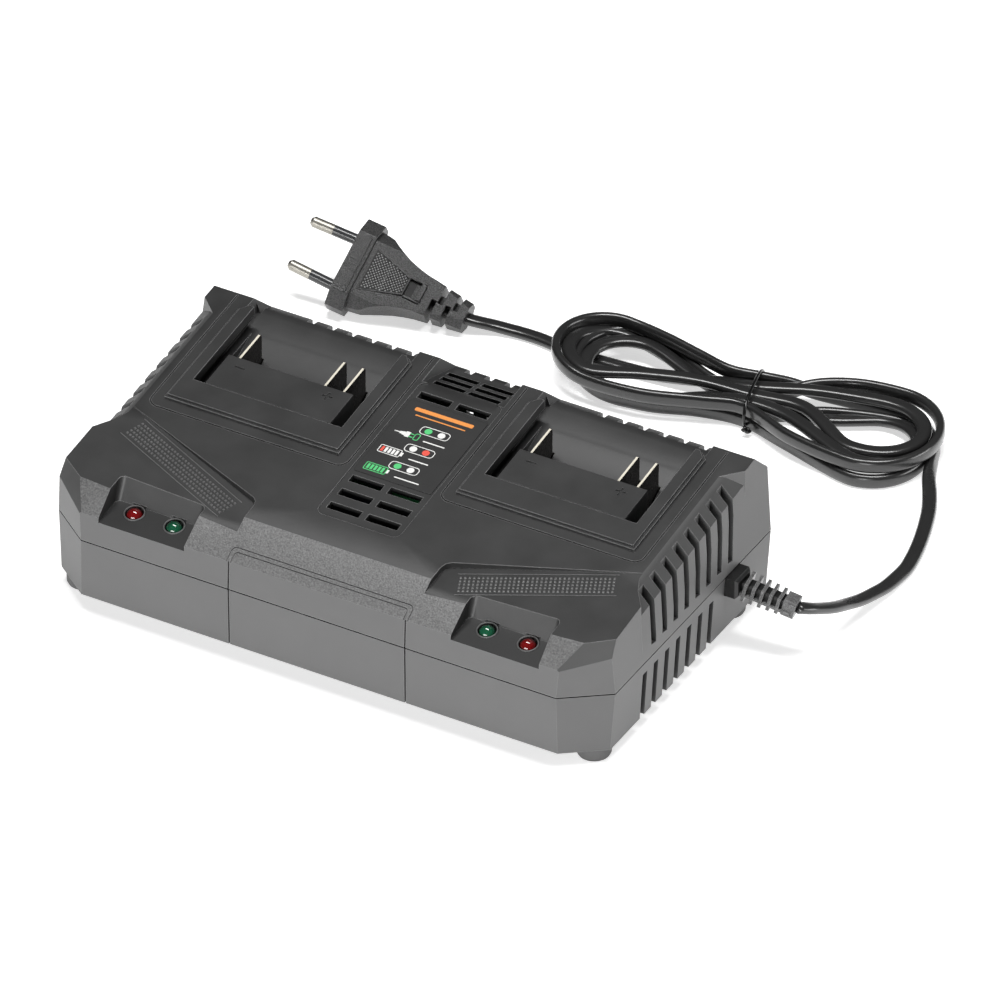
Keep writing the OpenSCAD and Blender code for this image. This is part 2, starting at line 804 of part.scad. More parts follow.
module blade(side, x) {
    y1 = block_y + block_d - 2 * clear;
    root_top = deck_at(block_y + block_d) - 1.6;
    bottom = deck_at(block_y + block_d) - blade_h - 0.9;
    end_y = y1 + blade_out;
    color("#d8d8d4") in_place() translate([side * dock_x + x - blade_t / 2, 0, 0]) {
        // root in the block
        translate([0, y1 - blade_root, bottom]) cube([blade_t, blade_root, root_top - bottom]);
        // free contact, with its top parallel to the deck
        intersection() {
            translate([0, y1, bottom]) cube([blade_t, blade_out, far / 4]);
            on_deck() translate([-1, 0, -60]) cube([blade_t + 2, 200, 60 + pad_h - blade_low]);
            union() {
                translate([-1, y1 - 1, 0]) cube([blade_t + 2, blade_out - 1.5 + 1, far]);
                translate([-1, end_y - 3, 0]) cube([blade_t + 2, 3, deck_at(end_y) + pad_h - blade_low - 1.5]);
                translate([-1, end_y - 1.5, deck_at(end_y) + pad_h - blade_low - 1.5])
                    rotate([0, 90, 0]) cylinder(r = 1.5, h = blade_t + 2);
            }
        }
    }
}

// ---------- lamps ----------

module lamp_board(side) {
    color("#2f5f3a") in_place() translate([side * pocket_x - pocket_half, lamp_y - 4.6, lamp_board_z])
        cube([2 * pocket_half, 9.6, board_t]);
}

module lamp(side, spot, shade) {
    dome_z = band_z - 1.5;
    low = lamp_board_z + board_t;
    color(shade) in_place() translate([side * pocket_x + spot * lamp_pitch / 2, lamp_y, 0]) {
        translate([0, 0, low]) cylinder(d = lamp_d, h = dome_z - low);
        intersection() {
            translate([0, 0, dome_z]) sphere(d = lamp_d);
            translate([-10, -10, dome_z]) cube(20);
        }
    }
}

// ---------- electronics ----------

module main_board() {
    color("#2f6b42") in_place() difference() {
        translate([-half_w + 18, 27, wall + post_h]) cube([case_w - 36, case_d - 44, board_t]);
        for (x = [-post_x, post_x], y = post_y) translate([x, y, 0]) cylinder(d = board_screw_d + 0.6, h = 30);
    }
}

module on_board(x, y) {
    in_place() translate([x, y, board_top]) children();
}

module transformer_core(side) {
    color("#3d3d42") on_board(side * 46, 44) difference() {
        translate([-16, -8, 0]) cube([32, 16, 24]);
        translate([-11, -9, 5]) cube([6, 18, 14]);
        translate([5, -9, 5]) cube([6, 18, 14]);
    }
}

module transformer_coil(side) {
    color("#d9b13c") on_board(side * 46, 44) difference() {
        translate([-10.8, -10.5, 5.2]) cube([21.6, 21, 13.6]);
        translate([-5.2, -8.2, 0]) cube([10.4, 16.4, 30]);
    }
}

module bulk_capacitor(side) {
    color("#23304f") on_board(side * 13, 40) {
        cylinder(d = 16, h = 25);
        translate([0, 0, 25]) cylinder(d = 14, h = 0.6);
    }
}

module heatsink(side) {
    color("#b9bcc0") on_board(side * 76, 50) {
        translate([-1.5, -12, 0]) cube([3, 24, 22]);
        for (i = [0:4]) translate([1.4 * side - (side < 0 ? 5.4 : 0), -12 + i * 5.5, 0]) cube([5.4, 2, 22]);
    }
}

module transistor(side) {
    color("#1d1d1f") on_board(side * (76 - 1.5) - (side > 0 ? 4.4 : 0), 45) translate([0, 0, 4]) {
        cube([4.4, 10, 14]);
        translate([1.8, 1.5, -4]) cube([0.8, 0.8, 4]);
        translate([1.8, 4.6, -4]) cube([0.8, 0.8, 4]);
        translate([1.8, 7.7, -4]) cube([0.8, 0.8, 4]);
    }
}

module mains_choke() {
    color("#a5562a") on_board(half_w - 42, case_d - 28) difference() {
        cylinder(d = 19, h = 11);
        translate([0, 0, -1]) cylinder(d = 8, h = 13);
    }
}

module mains_fuse() {
    color("#cfcfcf") on_board(half_w - 62, case_d - 23) {
        translate([-10, 0, 3]) rotate([0, 90, 0]) cylinder(d = 5, h = 20);
        for (x = [-8, 6]) translate([x, -2, 0]) cube([2, 4, 3]);
    }
}

module filter_capacitor() {
    color("#d8b23a") on_board(half_w - 72, case_d - 36.5) cube([18, 8, 12]);
}

module rectifier() {
    color("#222222") on_board(8, case_d - 29) {
        translate([0, 0, 2]) cube([18, 4.5, 13]);
        for (i = [0:3]) translate([1.5 + i * 4.7, 1.8, 0]) cube([0.9, 0.9, 2]);
    }
}

// ---------- strain relief and inner leads ----------

gland_mid = [half_w, gland_y + gland_w / 2, gland_z + gland_h / 2];
gland_aim = lead_route[0] + [0, case_d / 2, -foot_h] - gland_mid;
gland_len = norm(gland_aim);

module along_gland() {
    translate(gland_mid) rotate([0, 90 - asin(gland_aim[2] / gland_len), atan2(gland_aim[1], gland_aim[0])]) children();
}

module strain_relief() {
    fin_n = 5;
    neck = 4.4;
    fin_from = 6.2;
    fin_pitch = (gland_len - fin_from - 4.5) / fin_n;
    color("#262626") in_place() union() {
        // body through the wall, with its inner flange
        translate([half_w - wall - 1.5, gland_y, gland_z]) cube([wall + 6, gland_w, gland_h]);
        translate([half_w - wall - 1.4, gland_y - gland_flange, gland_z - gland_flange])
            cube([1.1 - base_draft * 0.3, gland_w + 2 * gland_flange, gland_h + gland_flange]);
        // ribbed tail
        along_gland() {
            translate([-neck / 2, -neck * 0.7, 0]) cube([neck, neck * 1.4, gland_len - 1]);
            for (i = [0:fin_n - 1]) {
                shrink = i * 0.35;
                translate([-3.7 + shrink / 2, -4.6 + shrink / 2, fin_from + i * fin_pitch])
                    cube([7.4 - shrink, 9.2 - shrink, 1.3]);
            }
            for (i = [0:fin_n - 1]) {
                side = i % 2 == 0 ? -1 : 1;
                translate([-2.9, side > 0 ? 0 : -3.8, fin_from + i * fin_pitch]) cube([5.8, 3.8, fin_pitch + 0.5]);
            }
            translate([-2.8, -3.4, gland_len - 4.2]) cube([5.6, 6.8, 4.2]);
        }
    }
}

module inner_lead(spot, shade) {
    y = gland_y + gland_w / 2 + spot * 1.6;
    x_end = half_w - 22;
    z = gland_z + gland_h / 2;
    color(shade) in_place() {
        translate([x_end, y, z]) rotate([0, 90, 0]) cylinder(d = 2, h = half_w - wall - 1.5 - x_end);
        translate([x_end, y, z]) sphere(d = 2);
        translate([x_end, y, board_top]) cylinder(d = 2, h = z - board_top);
    }
}

// ---------- the lead ----------

// Rings around a route, each an ellipse that lies flat, joined into one closed tube.
module flat_tube(route, width, height) {
    sides = 8;
    n = len(route);
    function heading(i) = let (a = route[max(i - 1, 0)], b = route[min(i + 1, n - 1)], d = b - a) d / norm(d);
    function sideways(i) = let (s = cross([0, 0, 1], heading(i))) s / norm(s);
    function upward(i) = cross(heading(i), sideways(i));
    points = [for (i = [0:n - 1], k = [0:sides - 1])
        route[i] + sideways(i) * (cos(360 * k / sides) * width / 2) + upward(i) * (sin(360 * k / sides) * height / 2)];
    walls = [for (i = [0:n - 2], k = [0:sides - 1])
        [i * sides + k, (i + 1) * sides + k, (i + 1) * sides + (k + 1) % sides, i * sides + (k + 1) % sides]];
    ends = [[for (k = [0:sides - 1]) k], [for (k = [sides - 1:-1:0]) (n - 1) * sides + k]];
    polyhedron(points, concat(walls, ends));
}

module cord_lead() {
    color("#161616") flat_tube(lead_route, cord_w, cord_t);
}

module cord_tail() {
    color("#161616") flat_tube(tail_route, cord_w, cord_t);
}

module hank_outline() {
    lobe_arc = 10;
    polygon(concat(
        [for (a = [80:lobe_arc:280]) hank_left + hank_left_r * [cos(a), sin(a)]],
        [[hank_waist_x, hank_waist_y - hank_waist_half]],
        [for (a = [-100:lobe_arc:100]) hank_right + hank_right_r * [cos(a), sin(a)]],
        [[hank_waist_x, hank_waist_y + hank_waist_half]]
    ));
}

module tie_band() {
    translate([hank_waist_x - tie_w / 2, hank_waist_y - hank_waist_half - 1, 0]) difference() {
        cube([tie_w, 2 * hank_waist_half + 2, hank_h]);
        translate([-1, 2, 1.2]) cube([tie_w + 2, 2 * hank_waist_half - 2, hank_h - 2.4]);
    }
}

module cord_hank() {
    color("#161616") difference() {
        linear_extrude(height = hank_h) hank_outline();
        tie_band();
    }
}

module cord_tie() {
    color("#0f0f0f") tie_band();
}

// ---------- the plug ----------

module on_plug() {
    translate(plug_at) rotate([0, plug_dip, plug_yaw]) rotate([plug_roll, 0, 0]) children();
}

function both_edges(edge) = concat(edge, [for (i = [len(edge) - 1:-1:0]) [edge[i][0], -edge[i][1]]]);

// A section across the plug: flat faces with beveled sides.
module plug_section(length, face, half, flat, thick) {
    rotate([90, 0, 90]) linear_extrude(height = length) polygon(both_edges([
        [-half, flat], [-face, thick], [face, thick], [half, flat]]));
}

module plug_slots() {
    reach = 2 * flange_t;
    for (u = slot_left) translate([u, -reach, -reach / 2]) cube([slot_w, reach, reach]);
    for (u = slot_right) translate([u, -0.7, -reach / 2]) cube([slot_w, reach, reach]);
}

module plug_body() {
    core = [48 - 31, 6, 4];
    color("#1f1f1f") on_plug() {
        plug_section(flange_len, 11.5, flange_half, 3, flange_t / 2);
        difference() {
            intersection() {
                linear_extrude(height = 30, center = true) polygon(both_edges(plug_edge));
                rotate([90, 0, 0]) linear_extrude(height = 50, center = true) polygon(both_edges(plug_cheek));
                plug_section(60, 10.4, 16, 1.5, 6.2);
            }
            plug_slots();
            // beveled corners of the collar
            for (v = [-1, 1], w = [-1, 1])
                beyond([collar_end, v * collar_corner / 2, w * collar_corner / 2], [0.3, v, w]);
            // small square recess
            translate([24.5, -3.3, 4.9]) cube([4.5, 6.6, 5]);
        }
        // core around the lead
        translate([31, -core[1] / 2, -core[2] / 2]) cube(core);
    }
}

module on_pin(side) {
    spread = asin((pin_base_pitch - pin_pitch) / 2 / pin_len);
    on_plug() translate([0, side * pin_base_pitch / 2, 0]) rotate([0, 0, side * spread]) rotate([0, -90, 0]) children();
}

module plug_pin(side) {
    color("#cfcfcf") on_pin(side) {
        translate([0, 0, -4]) cylinder(d = pin_core_d, h = sleeve_len + 4.1);
        translate([0, 0, sleeve_len]) cylinder(d = pin_d, h = pin_len - sleeve_len - 1);
        translate([0, 0, pin_len - 1]) cylinder(d1 = pin_d, d2 = pin_d - 1.6, h = 1);
    }
}

module plug_sleeve(side) {
    color("#2b2b2b") on_pin(side) difference() {
        translate([0, 0, 0.1]) cylinder(d = pin_d, h = sleeve_len - 0.15);
        translate([0, 0, -1]) cylinder(d = pin_core_d + 0.1, h = sleeve_len + 2);
    }
}

// ---------- nodes ----------

base_shell();
top_cover();
label_plate();
foot(foot_places[0]);  // foot_front_left
foot(foot_places[1]);  // foot_front_right
foot(foot_places[2]);  // foot_rear_left
foot(foot_places[3]);  // foot_rear_right
case_screw(boss_places[0]);  // case_screw_1
case_screw(boss_places[1]);  // case_screw_2
case_screw(boss_places[2]);  // case_screw_3
case_screw(boss_places[3]);  // case_screw_4
main_board();
board_screw(-post_x, post_y[0]);  // board_screw_1
board_screw(post_x, post_y[0]);  // board_screw_2
board_screw(-post_x, post_y[1]);  // board_screw_3
board_screw(post_x, post_y[1]);  // board_screw_4
terminal_block(-1);  // terminal_block_left
terminal_block(1);  // terminal_block_right
blade(-1, blade_x1);  // blade_left_minus
blade(-1, blade_x2);  // blade_left_inner
blade(-1, blade_x3);  // blade_left_outer
blade(1, blade_x1);  // blade_right_minus
blade(1, blade_x2);  // blade_right_inner
blade(1, blade_x3);  // blade_right_outer
lamp_board(-1);  // lamp_board_left
lamp_board(1);  // lamp_board_right
lamp(-1, -1, "#7a1418");  // lamp_red_left
lamp(-1, 1, "#1f5a3c");  // lamp_green_left
lamp(1, 1, "#7a1418");  // lamp_red_right
lamp(1, -1, "#1f5a3c");  // lamp_green_right
transformer_core(-1);  // transformer_core_left
transformer_coil(-1);  // transformer_coil_left
transformer_core(1);  // transformer_core_right
transformer_coil(1);  // transformer_coil_right
bulk_capacitor(-1);  // bulk_capacitor_left
bulk_capacitor(1);  // bulk_capacitor_right
heatsink(-1);  // heatsink_left
heatsink(1);  // heatsink_right
transistor(-1);  // transistor_left
transistor(1);  // transistor_right
mains_choke();
mains_fuse();
filter_capacitor();
rectifier();
strain_relief();
inner_lead(1, "#7a4a24");  // lead_live
inner_lead(-1, "#2c5aa0");  // lead_neutral
cord_lead();
cord_hank();
cord_tail();
cord_tie();
plug_body();
plug_pin(1);  // plug_pin_upper
plug_pin(-1);  // plug_pin_lower
plug_sleeve(1);  // plug_sleeve_upper
plug_sleeve(-1);  // plug_sleeve_lower
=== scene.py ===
"""Looks of a dual-bay power tool battery charger with its flat mains lead, plug and tied bundle."""

import logging
import math
from collections.abc import Sequence
from dataclasses import dataclass, field
from enum import Enum

import bmesh
import bpy
import numpy as np
from mathutils import Matrix, Vector


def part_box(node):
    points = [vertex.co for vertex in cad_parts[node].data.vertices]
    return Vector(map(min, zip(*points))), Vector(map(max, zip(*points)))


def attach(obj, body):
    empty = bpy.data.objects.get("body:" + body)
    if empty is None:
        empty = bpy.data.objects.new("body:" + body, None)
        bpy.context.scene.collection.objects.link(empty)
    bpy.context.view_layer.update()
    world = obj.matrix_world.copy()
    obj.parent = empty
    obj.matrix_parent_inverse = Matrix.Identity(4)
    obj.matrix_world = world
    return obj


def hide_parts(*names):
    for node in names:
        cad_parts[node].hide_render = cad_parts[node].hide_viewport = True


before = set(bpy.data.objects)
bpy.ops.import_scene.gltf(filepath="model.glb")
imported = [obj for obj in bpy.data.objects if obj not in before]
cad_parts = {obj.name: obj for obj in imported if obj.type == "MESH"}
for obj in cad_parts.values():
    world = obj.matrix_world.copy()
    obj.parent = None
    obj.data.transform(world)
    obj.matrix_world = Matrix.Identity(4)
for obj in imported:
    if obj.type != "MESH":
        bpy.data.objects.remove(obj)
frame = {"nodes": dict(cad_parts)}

LOG = logging.getLogger("charger")
BODY = "charger"
MM = 0.001
Point = tuple[float, float, float]
Row = tuple[float, float]


def linear(hex_code: str) -> tuple[float, float, float, float]:
    """Turn an sRGB hex colour into linear RGBA."""
    shares = [int(hex_code[i : i + 2], 16) / 255 for i in (1, 3, 5)]
    values = [s / 12.92 if s <= 0.04045 else ((s + 0.055) / 1.055) ** 2.4 for s in shares]
    return (values[0], values[1], values[2], 1.0)


# ---------- finishes ----------


class Graph:
    """One material's node tree."""

    def __init__(self, name: str) -> None:
        """Start an empty material of that name."""
        self.material = bpy.data.materials.new(name)
        self.material.use_nodes = True
        self.tree = self.material.node_tree
        self.tree.nodes.clear()

    def add(self, kind: str, settings: dict | None = None, values: Sequence = (), **inputs) -> bpy.types.Node:
        """Add a node and fill or link its inputs.

        Args:
            kind: The node's type, without its ShaderNode prefix.
            settings: Properties of the node.
            values: Inputs in their order, where their names repeat.
            inputs: Inputs by name, with _ for each space.

        Returns:
            The new node.
        """
        node = self.tree.nodes.new("ShaderNode" + kind)
        for key, value in (settings or {}).items():
            setattr(node, key, value)
        pairs = list(zip(node.inputs, values))
        pairs += [(node.inputs[key.replace("_", " ")], value) for key, value in inputs.items()]
        for socket, value in pairs:
            if isinstance(value, bpy.types.NodeSocket):
                self.tree.links.new(value, socket)
            elif value is not None:
                socket.default_value = value
        return node

    def noise(self, size_mm: float, detail: float = 3.0,
              stretch: Point | None = None) -> bpy.types.NodeSocket:
        """Give a noise value in object space.

        Args:
            size_mm: Size of its grains.
            detail: Number of finer layers.
            stretch: Scale along each axis, where the grains aren't round.

        Returns:
            The noise's factor socket.
        """
        place = self.add("TexCoord").outputs["Object"]
        if stretch:
            place = self.add("Mapping", Vector=place, Scale=stretch).outputs[0]
        return self.add("TexNoise", Vector=place, Scale=1 / (size_mm * MM), Detail=detail).outputs["Fac"]

    def spread(self, value: bpy.types.NodeSocket, low: float, high: float) -> bpy.types.NodeSocket:
        """Map the middle of a noise's range to low and high."""
        node = self.add("MapRange", values=(value, 0.3, 0.7, low, high))
        return node.outputs[0]

    def blend(self, share, first, second) -> bpy.types.NodeSocket:
        """Mix two colours by a share."""
        node = self.add("Mix", {"data_type": "RGBA"})
        for index, value in ((0, share), (6, first), (7, second)):
            if isinstance(value, bpy.types.NodeSocket):
                self.tree.links.new(value, node.inputs[index])
            else:
                node.inputs[index].default_value = value
        return node.outputs[2]

    def finish(self, **inputs) -> bpy.types.Material:
        """End the tree in a principled shader and return the material."""
        shader = self.add("BsdfPrincipled", **inputs)
        self.add("OutputMaterial", Surface=shader.outputs[0])
        return self.material


@dataclass(frozen=True)
class Moulded:
    """A moulded plastic or rubber.

    Attributes:
        name: The material's name.
        colour: Its colour.
        wear_and_highlight: A lighter colour, mixed in at random and by the grain, and at outer edges as
            painted highlight with some wear.
        roughness: Middle of its roughness.
        grain_mm: Size of the mould's surface grain.
        relief: Strength of that grain.
        mottle: How far the roughness strays from its middle.
        edge_mm: Radius of its edges.
        gloss: Weight of a clear glossy skin.
        speck: How far the grain darkens and lightens the colour.
        rub_and_highlight: How far its outer edges take that colour, as painted highlight with some wear.
        crevice_shade: How far painted shade darkens its crevices.
        crevice_mm: Width of the crevices that darken.
        nook: Openness at which they begin to darken and at which they are darkest.
    """

    name: str
    colour: str
    wear_and_highlight: str
    roughness: float = 0.45
    grain_mm: float = 0.25
    relief: float = 0.15
    mottle: float = 0.05
    edge_mm: float = 0.35
    gloss: float = 0.0
    speck: float = 0.0
    rub_and_highlight: float = 0.8
    crevice_shade: float = 0.6
    crevice_mm: float = 1.0
    nook: Row = (0.75, 0.3)

    def build(self) -> bpy.types.Material:
        """Make the material."""
        graph = Graph(self.name)
        round_edge = graph.add("Bevel", {"samples": 4}, Radius=self.edge_mm * MM).outputs[0]
        true_normal = graph.add("NewGeometry").outputs["Normal"]
        facing = graph.add("VectorMath", {"operation": "DOT_PRODUCT"}, values=(round_edge, true_normal))
        # Painted highlight: where the bevel turns the normal at an outer edge, the lighter colour is mixed
        # in, but not in crevices.
        turned = graph.add("MapRange", values=(facing.outputs["Value"], 0.99, 0.8, 0.0, self.rub_and_highlight)).outputs[0]
        nook = graph.add("AmbientOcclusion", {"samples": 6}, Distance=self.crevice_mm * MM).outputs["AO"]
        open_share = graph.add("MapRange", values=(nook, 0.6, 0.9, 0.0, 1.0)).outputs[0]
        edge_wear_and_highlight = graph.add("Math", {"operation": "MULTIPLY"}, values=(turned, open_share)).outputs[0]
        # Painted shade: where ambient occlusion finds a crevice, the colour darkens towards near black.
        painted_crevice_shade = graph.add("MapRange", values=(nook, *self.nook, 0.0, self.crevice_shade)).outputs[0]
        grain = graph.noise(self.grain_mm, 2.0)
        cloud = graph.noise(14.0, 4.0)
        base = graph.blend(graph.spread(cloud, 0.0, 0.03), linear(self.colour), linear(self.wear_and_highlight))
        if self.speck:
            base = graph.blend(graph.spread(grain, 0.0, self.speck), base, linear(self.wear_and_highlight))
        base = graph.blend(edge_wear_and_highlight, base, linear(self.wear_and_highlight))
        base = graph.blend(painted_crevice_shade, base, linear("#050505"))
        rough = graph.spread(cloud, self.roughness - self.mottle, self.roughness + self.mottle)
        bump = graph.add("Bump", Strength=self.relief, Distance=self.grain_mm * 0.35 * MM, Height=grain,
                         Normal=round_edge)
        return graph.finish(Base_Color=base, Roughness=rough, Normal=bump.outputs[0], IOR=1.5,
                            Coat_Weight=self.gloss, Coat_Roughness=0.2)


@dataclass(frozen=True)
class Metal:
    """A drawn, pressed or plated metal with fine lines along one axis and a painted highlight on its edges.
    """

    name: str
    colour: str
    shade: str
    roughness: float = 0.28
    line_mm: float = 0.12
    along: Point = (1.0, 0.06, 1.0)
    # Colour of the painted highlight on its edges.
    edge: str = "#d8d8d8"
    relief: float = 0.12

    def build(self) -> bpy.types.Material:
        """Make the material."""
        graph = Graph(self.name)
        round_edge = graph.add("Bevel", {"samples": 4}, Radius=0.15 * MM).outputs[0]
        lines = graph.noise(self.line_mm, 2.0, self.along)
        stain = graph.noise(2.5, 3.0)
        base = graph.blend(graph.spread(stain, 0.0, 0.5), linear(self.colour), linear(self.shade))
        # Painted highlight: where the bevel turns the normal at an edge, the edge colour is mixed in.
        true_normal = graph.add("NewGeometry").outputs["Normal"]
        facing = graph.add("VectorMath", {"operation": "DOT_PRODUCT"}, values=(round_edge, true_normal))
        painted_metal_highlight = graph.add("MapRange", values=(facing.outputs["Value"], 0.99, 0.8, 0.0, 1.0)).outputs[0]
        base = graph.blend(painted_metal_highlight, base, linear(self.edge))
        rough = graph.spread(lines, self.roughness - 0.07, self.roughness + 0.07)
        bump = graph.add("Bump", Strength=self.relief, Distance=0.02 * MM, Height=lines, Normal=round_edge)
        return graph.finish(Base_Color=base, Metallic=1.0, Roughness=rough, Normal=bump.outputs[0])


@dataclass(frozen=True)
class Lens:
    """A tinted epoxy lamp body, with painted shade that makes it darker at its rim, where it turns from the
    view, than at its middle.
    """

    name: str
    core: str
    rim: str

    def build(self) -> bpy.types.Material:
        """Make the material."""
        graph = Graph(self.name)
        # Painted shade: the rim colour is mixed in where the surface turns away from the view, and at random
        # by the cloud.
        turn = graph.add("LayerWeight", Blend=0.35).outputs["Facing"]
        cloud = graph.noise(1.6, 2.0)
        base = graph.blend(turn, linear(self.core), linear(self.rim))
        base = graph.blend(graph.spread(cloud, 0.0, 0.25), base, linear(self.rim))
        return graph.finish(Base_Color=base, Roughness=0.09, IOR=1.53, Coat_Weight=0.6, Coat_Roughness=0.03,
                            Subsurface_Weight=0.15, Subsurface_Scale=1.0 * MM)


@dataclass(frozen=True)
class Board:
    """A circuit board's solder mask over copper tracks."""

    name: str = "solder mask over copper"
    mask: str = "#1f5a34"
    track: str = "#2f7a48"

    def build(self) -> bpy.types.Material:
        """Make the material."""
        graph = Graph(self.name)
        place = graph.add("TexCoord").outputs["Object"]
        cells = graph.add("TexVoronoi", {"distance": "MANHATTAN"}, Vector=place, Scale=1 / (6 * MM))
        share = graph.add("MapRange", values=(cells.outputs["Distance"], 0.25, 0.3, 0.0, 1.0)).outputs[0]
        base = graph.blend(share, linear(self.track), linear(self.mask))
        bump = graph.add("Bump", Strength=0.2, Distance=0.05 * MM, Height=share)
        return graph.finish(Base_Color=base, Roughness=0.35, Normal=bump.outputs[0])


@dataclass(frozen=True)
class Ink:
    """Screen-printed ink, slightly uneven."""

    name: str
    colour: str

    def build(self) -> bpy.types.Material:
        """Make the material."""
        graph = Graph(self.name)
        cloud = graph.noise(0.5, 2.0)
        body = linear(self.colour)
        thin = tuple(0.82 * c for c in body[:3]) + (1.0,)
        base = graph.blend(graph.spread(cloud, 0.0, 0.5), body, thin)
        bump = graph.add("Bump", Strength=0.1, Distance=0.02 * MM, Height=cloud)
        return graph.finish(Base_Color=base, Roughness=0.5, Normal=bump.outputs[0])


# ABS moulded, satin: dark grey with a soft sheen that shows the flat faces.
ABS_UPPER = Moulded("ABS moulded satin upper", "#2b2b2b", "#a4a4a4", roughness=0.42, grain_mm=0.22,
                    relief=0.18, mottle=0.01, edge_mm=0.4, rub_and_highlight=0.9)
# ABS of the walls and the lower shell: the same plastic as the deck, painted lighter as the light its upright
# faces catch.
ABS_WALL_LIT = Moulded("ABS moulded satin lit wall tone", "#646464", "#a0a0a0", roughness=0.46, grain_mm=0.22,
                    relief=0.18, mottle=0.01, edge_mm=0.5)
# ABS inside the vents: the same, with painted shade that darkens it to near black within a few millimetres.
ABS_VENT = Moulded("ABS moulded vent wall", "#585858", "#a0a0a0", roughness=0.5, grain_mm=0.22, relief=0.18,
                   mottle=0.03, edge_mm=0.2, crevice_shade=1.0, crevice_mm=5.0, nook=(0.66, 0.44))
# ABS of the cut-off corners: the same plastic, painted a tone between the deck's and the walls', as the light
# falls on their slant.
ABS_CORNER = Moulded("ABS moulded corner", "#474747", "#a0a0a0", roughness=0.46, grain_mm=0.22, relief=0.18,
                     mottle=0.01, edge_mm=0.45)
# ABS on the floor of the lamp pockets: painted near black as shade, with a painted highlight on its edges.
ABS_POCKET = Moulded("ABS moulded pocket floor", "#0a0a0a", "#7a7a7a", roughness=0.5, grain_mm=0.22,
                     relief=0.12, mottle=0.03, edge_mm=0.3)
# ABS in the joint between the shells: never lit, so it is painted near black as shade and reads as a black
# line.
ABS_JOINT = Moulded("ABS moulded joint", "#080808", "#0c0c0c", roughness=0.8, grain_mm=0.22, relief=0.1,
                    mottle=0.03, edge_mm=0.1, rub_and_highlight=0.0)
# ABS spark-eroded: a coarse grain that looks lighter than the satin deck beside it.
ABS_GRAINED = Moulded("ABS moulded spark-eroded", "#525252", "#909090", roughness=0.44, grain_mm=0.6,
                      relief=0.8, mottle=0.04, speck=0.5)
# ABS of the raised dots: the same plastic, painted lighter than the deck as the highlight on their tops.
ABS_DOT = Moulded("ABS moulded dots", "#5c5c5c", "#8e8e8e", roughness=0.36, grain_mm=0.2, relief=0.12,
                  edge_mm=0.12)
# ABS of the terminal blocks: the same grey, a little smoother.
ABS_BLOCK = Moulded("ABS moulded block", "#303030", "#606060", roughness=0.4, grain_mm=0.2, relief=0.14)
# Polycarbonate label: fine matt skin, near black.
LABEL_SKIN = Moulded("polycarbonate label skin", "#222222", "#343434", roughness=0.5, grain_mm=0.15,
                     relief=0.12)
# Rubber: a dull grey, close to the walls.
RUBBER = Moulded("rubber foot", "#646464", "#8a8a8a", roughness=0.7, grain_mm=0.35, relief=0.3, mottle=0.06,
                 edge_mm=0.5)
# PVC of the strain relief: soft, half gloss.
PVC_GLAND = Moulded("PVC moulded strain relief", "#161616", "#4a4a4a", roughness=0.42, grain_mm=0.5,
                    relief=0.4, edge_mm=0.3)
# PVC of its ribs: the same, painted lighter with painted highlight on their edges, so they stand out light
# against the gaps.
PVC_RIB = Moulded("PVC moulded ribs", "#3c3c3c", "#b4b4b4", roughness=0.34, grain_mm=0.5, relief=0.6,
                  edge_mm=0.3, gloss=0.2, speck=0.35, rub_and_highlight=0.9, crevice_shade=0.9, crevice_mm=1.6, nook=(0.8, 0.45))
# PVC sheath: glossy, with a light line along its edges from its gloss and a little painted highlight.
PVC_CORD = Moulded("PVC sheath", "#2a2a2a", "#4c4c4c", roughness=0.3, grain_mm=1.6, relief=0.03,
                   mottle=0.04, edge_mm=0.1, gloss=0.6, rub_and_highlight=0.3, crevice_shade=0.3)
# PVC moulded plug: a clear grain that glints in specks, half gloss, with painted highlight on its edges and
# painted shade in its crevices.
PVC_PLUG = Moulded("PVC moulded plug", "#0c0c0c", "#6c6c6c", roughness=0.34, grain_mm=0.45, relief=1.0,
                   edge_mm=0.4, speck=0.55, rub_and_highlight=0.6, crevice_shade=0.9, crevice_mm=1.6, nook=(0.8, 0.45))
# PVC between the knurls and in the plug's window: painted shade.
PVC_SHADE = Moulded("PVC moulded recess", "#0c0c0c", "#2c2c2c", roughness=0.5, grain_mm=0.5, relief=0.4,
                    edge_mm=0.1)
# PVC of the plug's knurled pad: the same PVC, painted light grey as the highlight that its points catch.
PVC_KNURL = Moulded("PVC moulded knurl", "#a8a8a8", "#d8d8d8", roughness=0.34, grain_mm=0.3, relief=0.05,
                    edge_mm=0.06, gloss=0.1, rub_and_highlight=0.6, crevice_shade=0.4)
# PVC over the tie's wire: near black, with a small highlight.
PVC_TIE = Moulded("PVC coated wire", "#0d0d0d", "#222222", roughness=0.3, grain_mm=0.6, relief=0.1,
                  mottle=0.04, edge_mm=0.1, gloss=0.2)

# Brass, rolled and tin plated: its flat faces are painted dark as a reflection of the dark dock they mirror;
# its cut edges are bare metal, painted near white as their highlight.
BLADE_FACE = Metal("brass tin plated", "#3f3d3b", "#353432", roughness=0.3, line_mm=0.5,
                   along=(1.0, 1.0, 0.2), edge="#c8c4b8", relief=0.02)
BLADE_EDGE = Moulded("brass cut edge", "#e9e3d2", "#fffaf0", roughness=0.3, grain_mm=0.3, relief=0.05,
                     mottle=0.02, edge_mm=0.05, gloss=0.3, rub_and_highlight=0.3, crevice_shade=0.0)

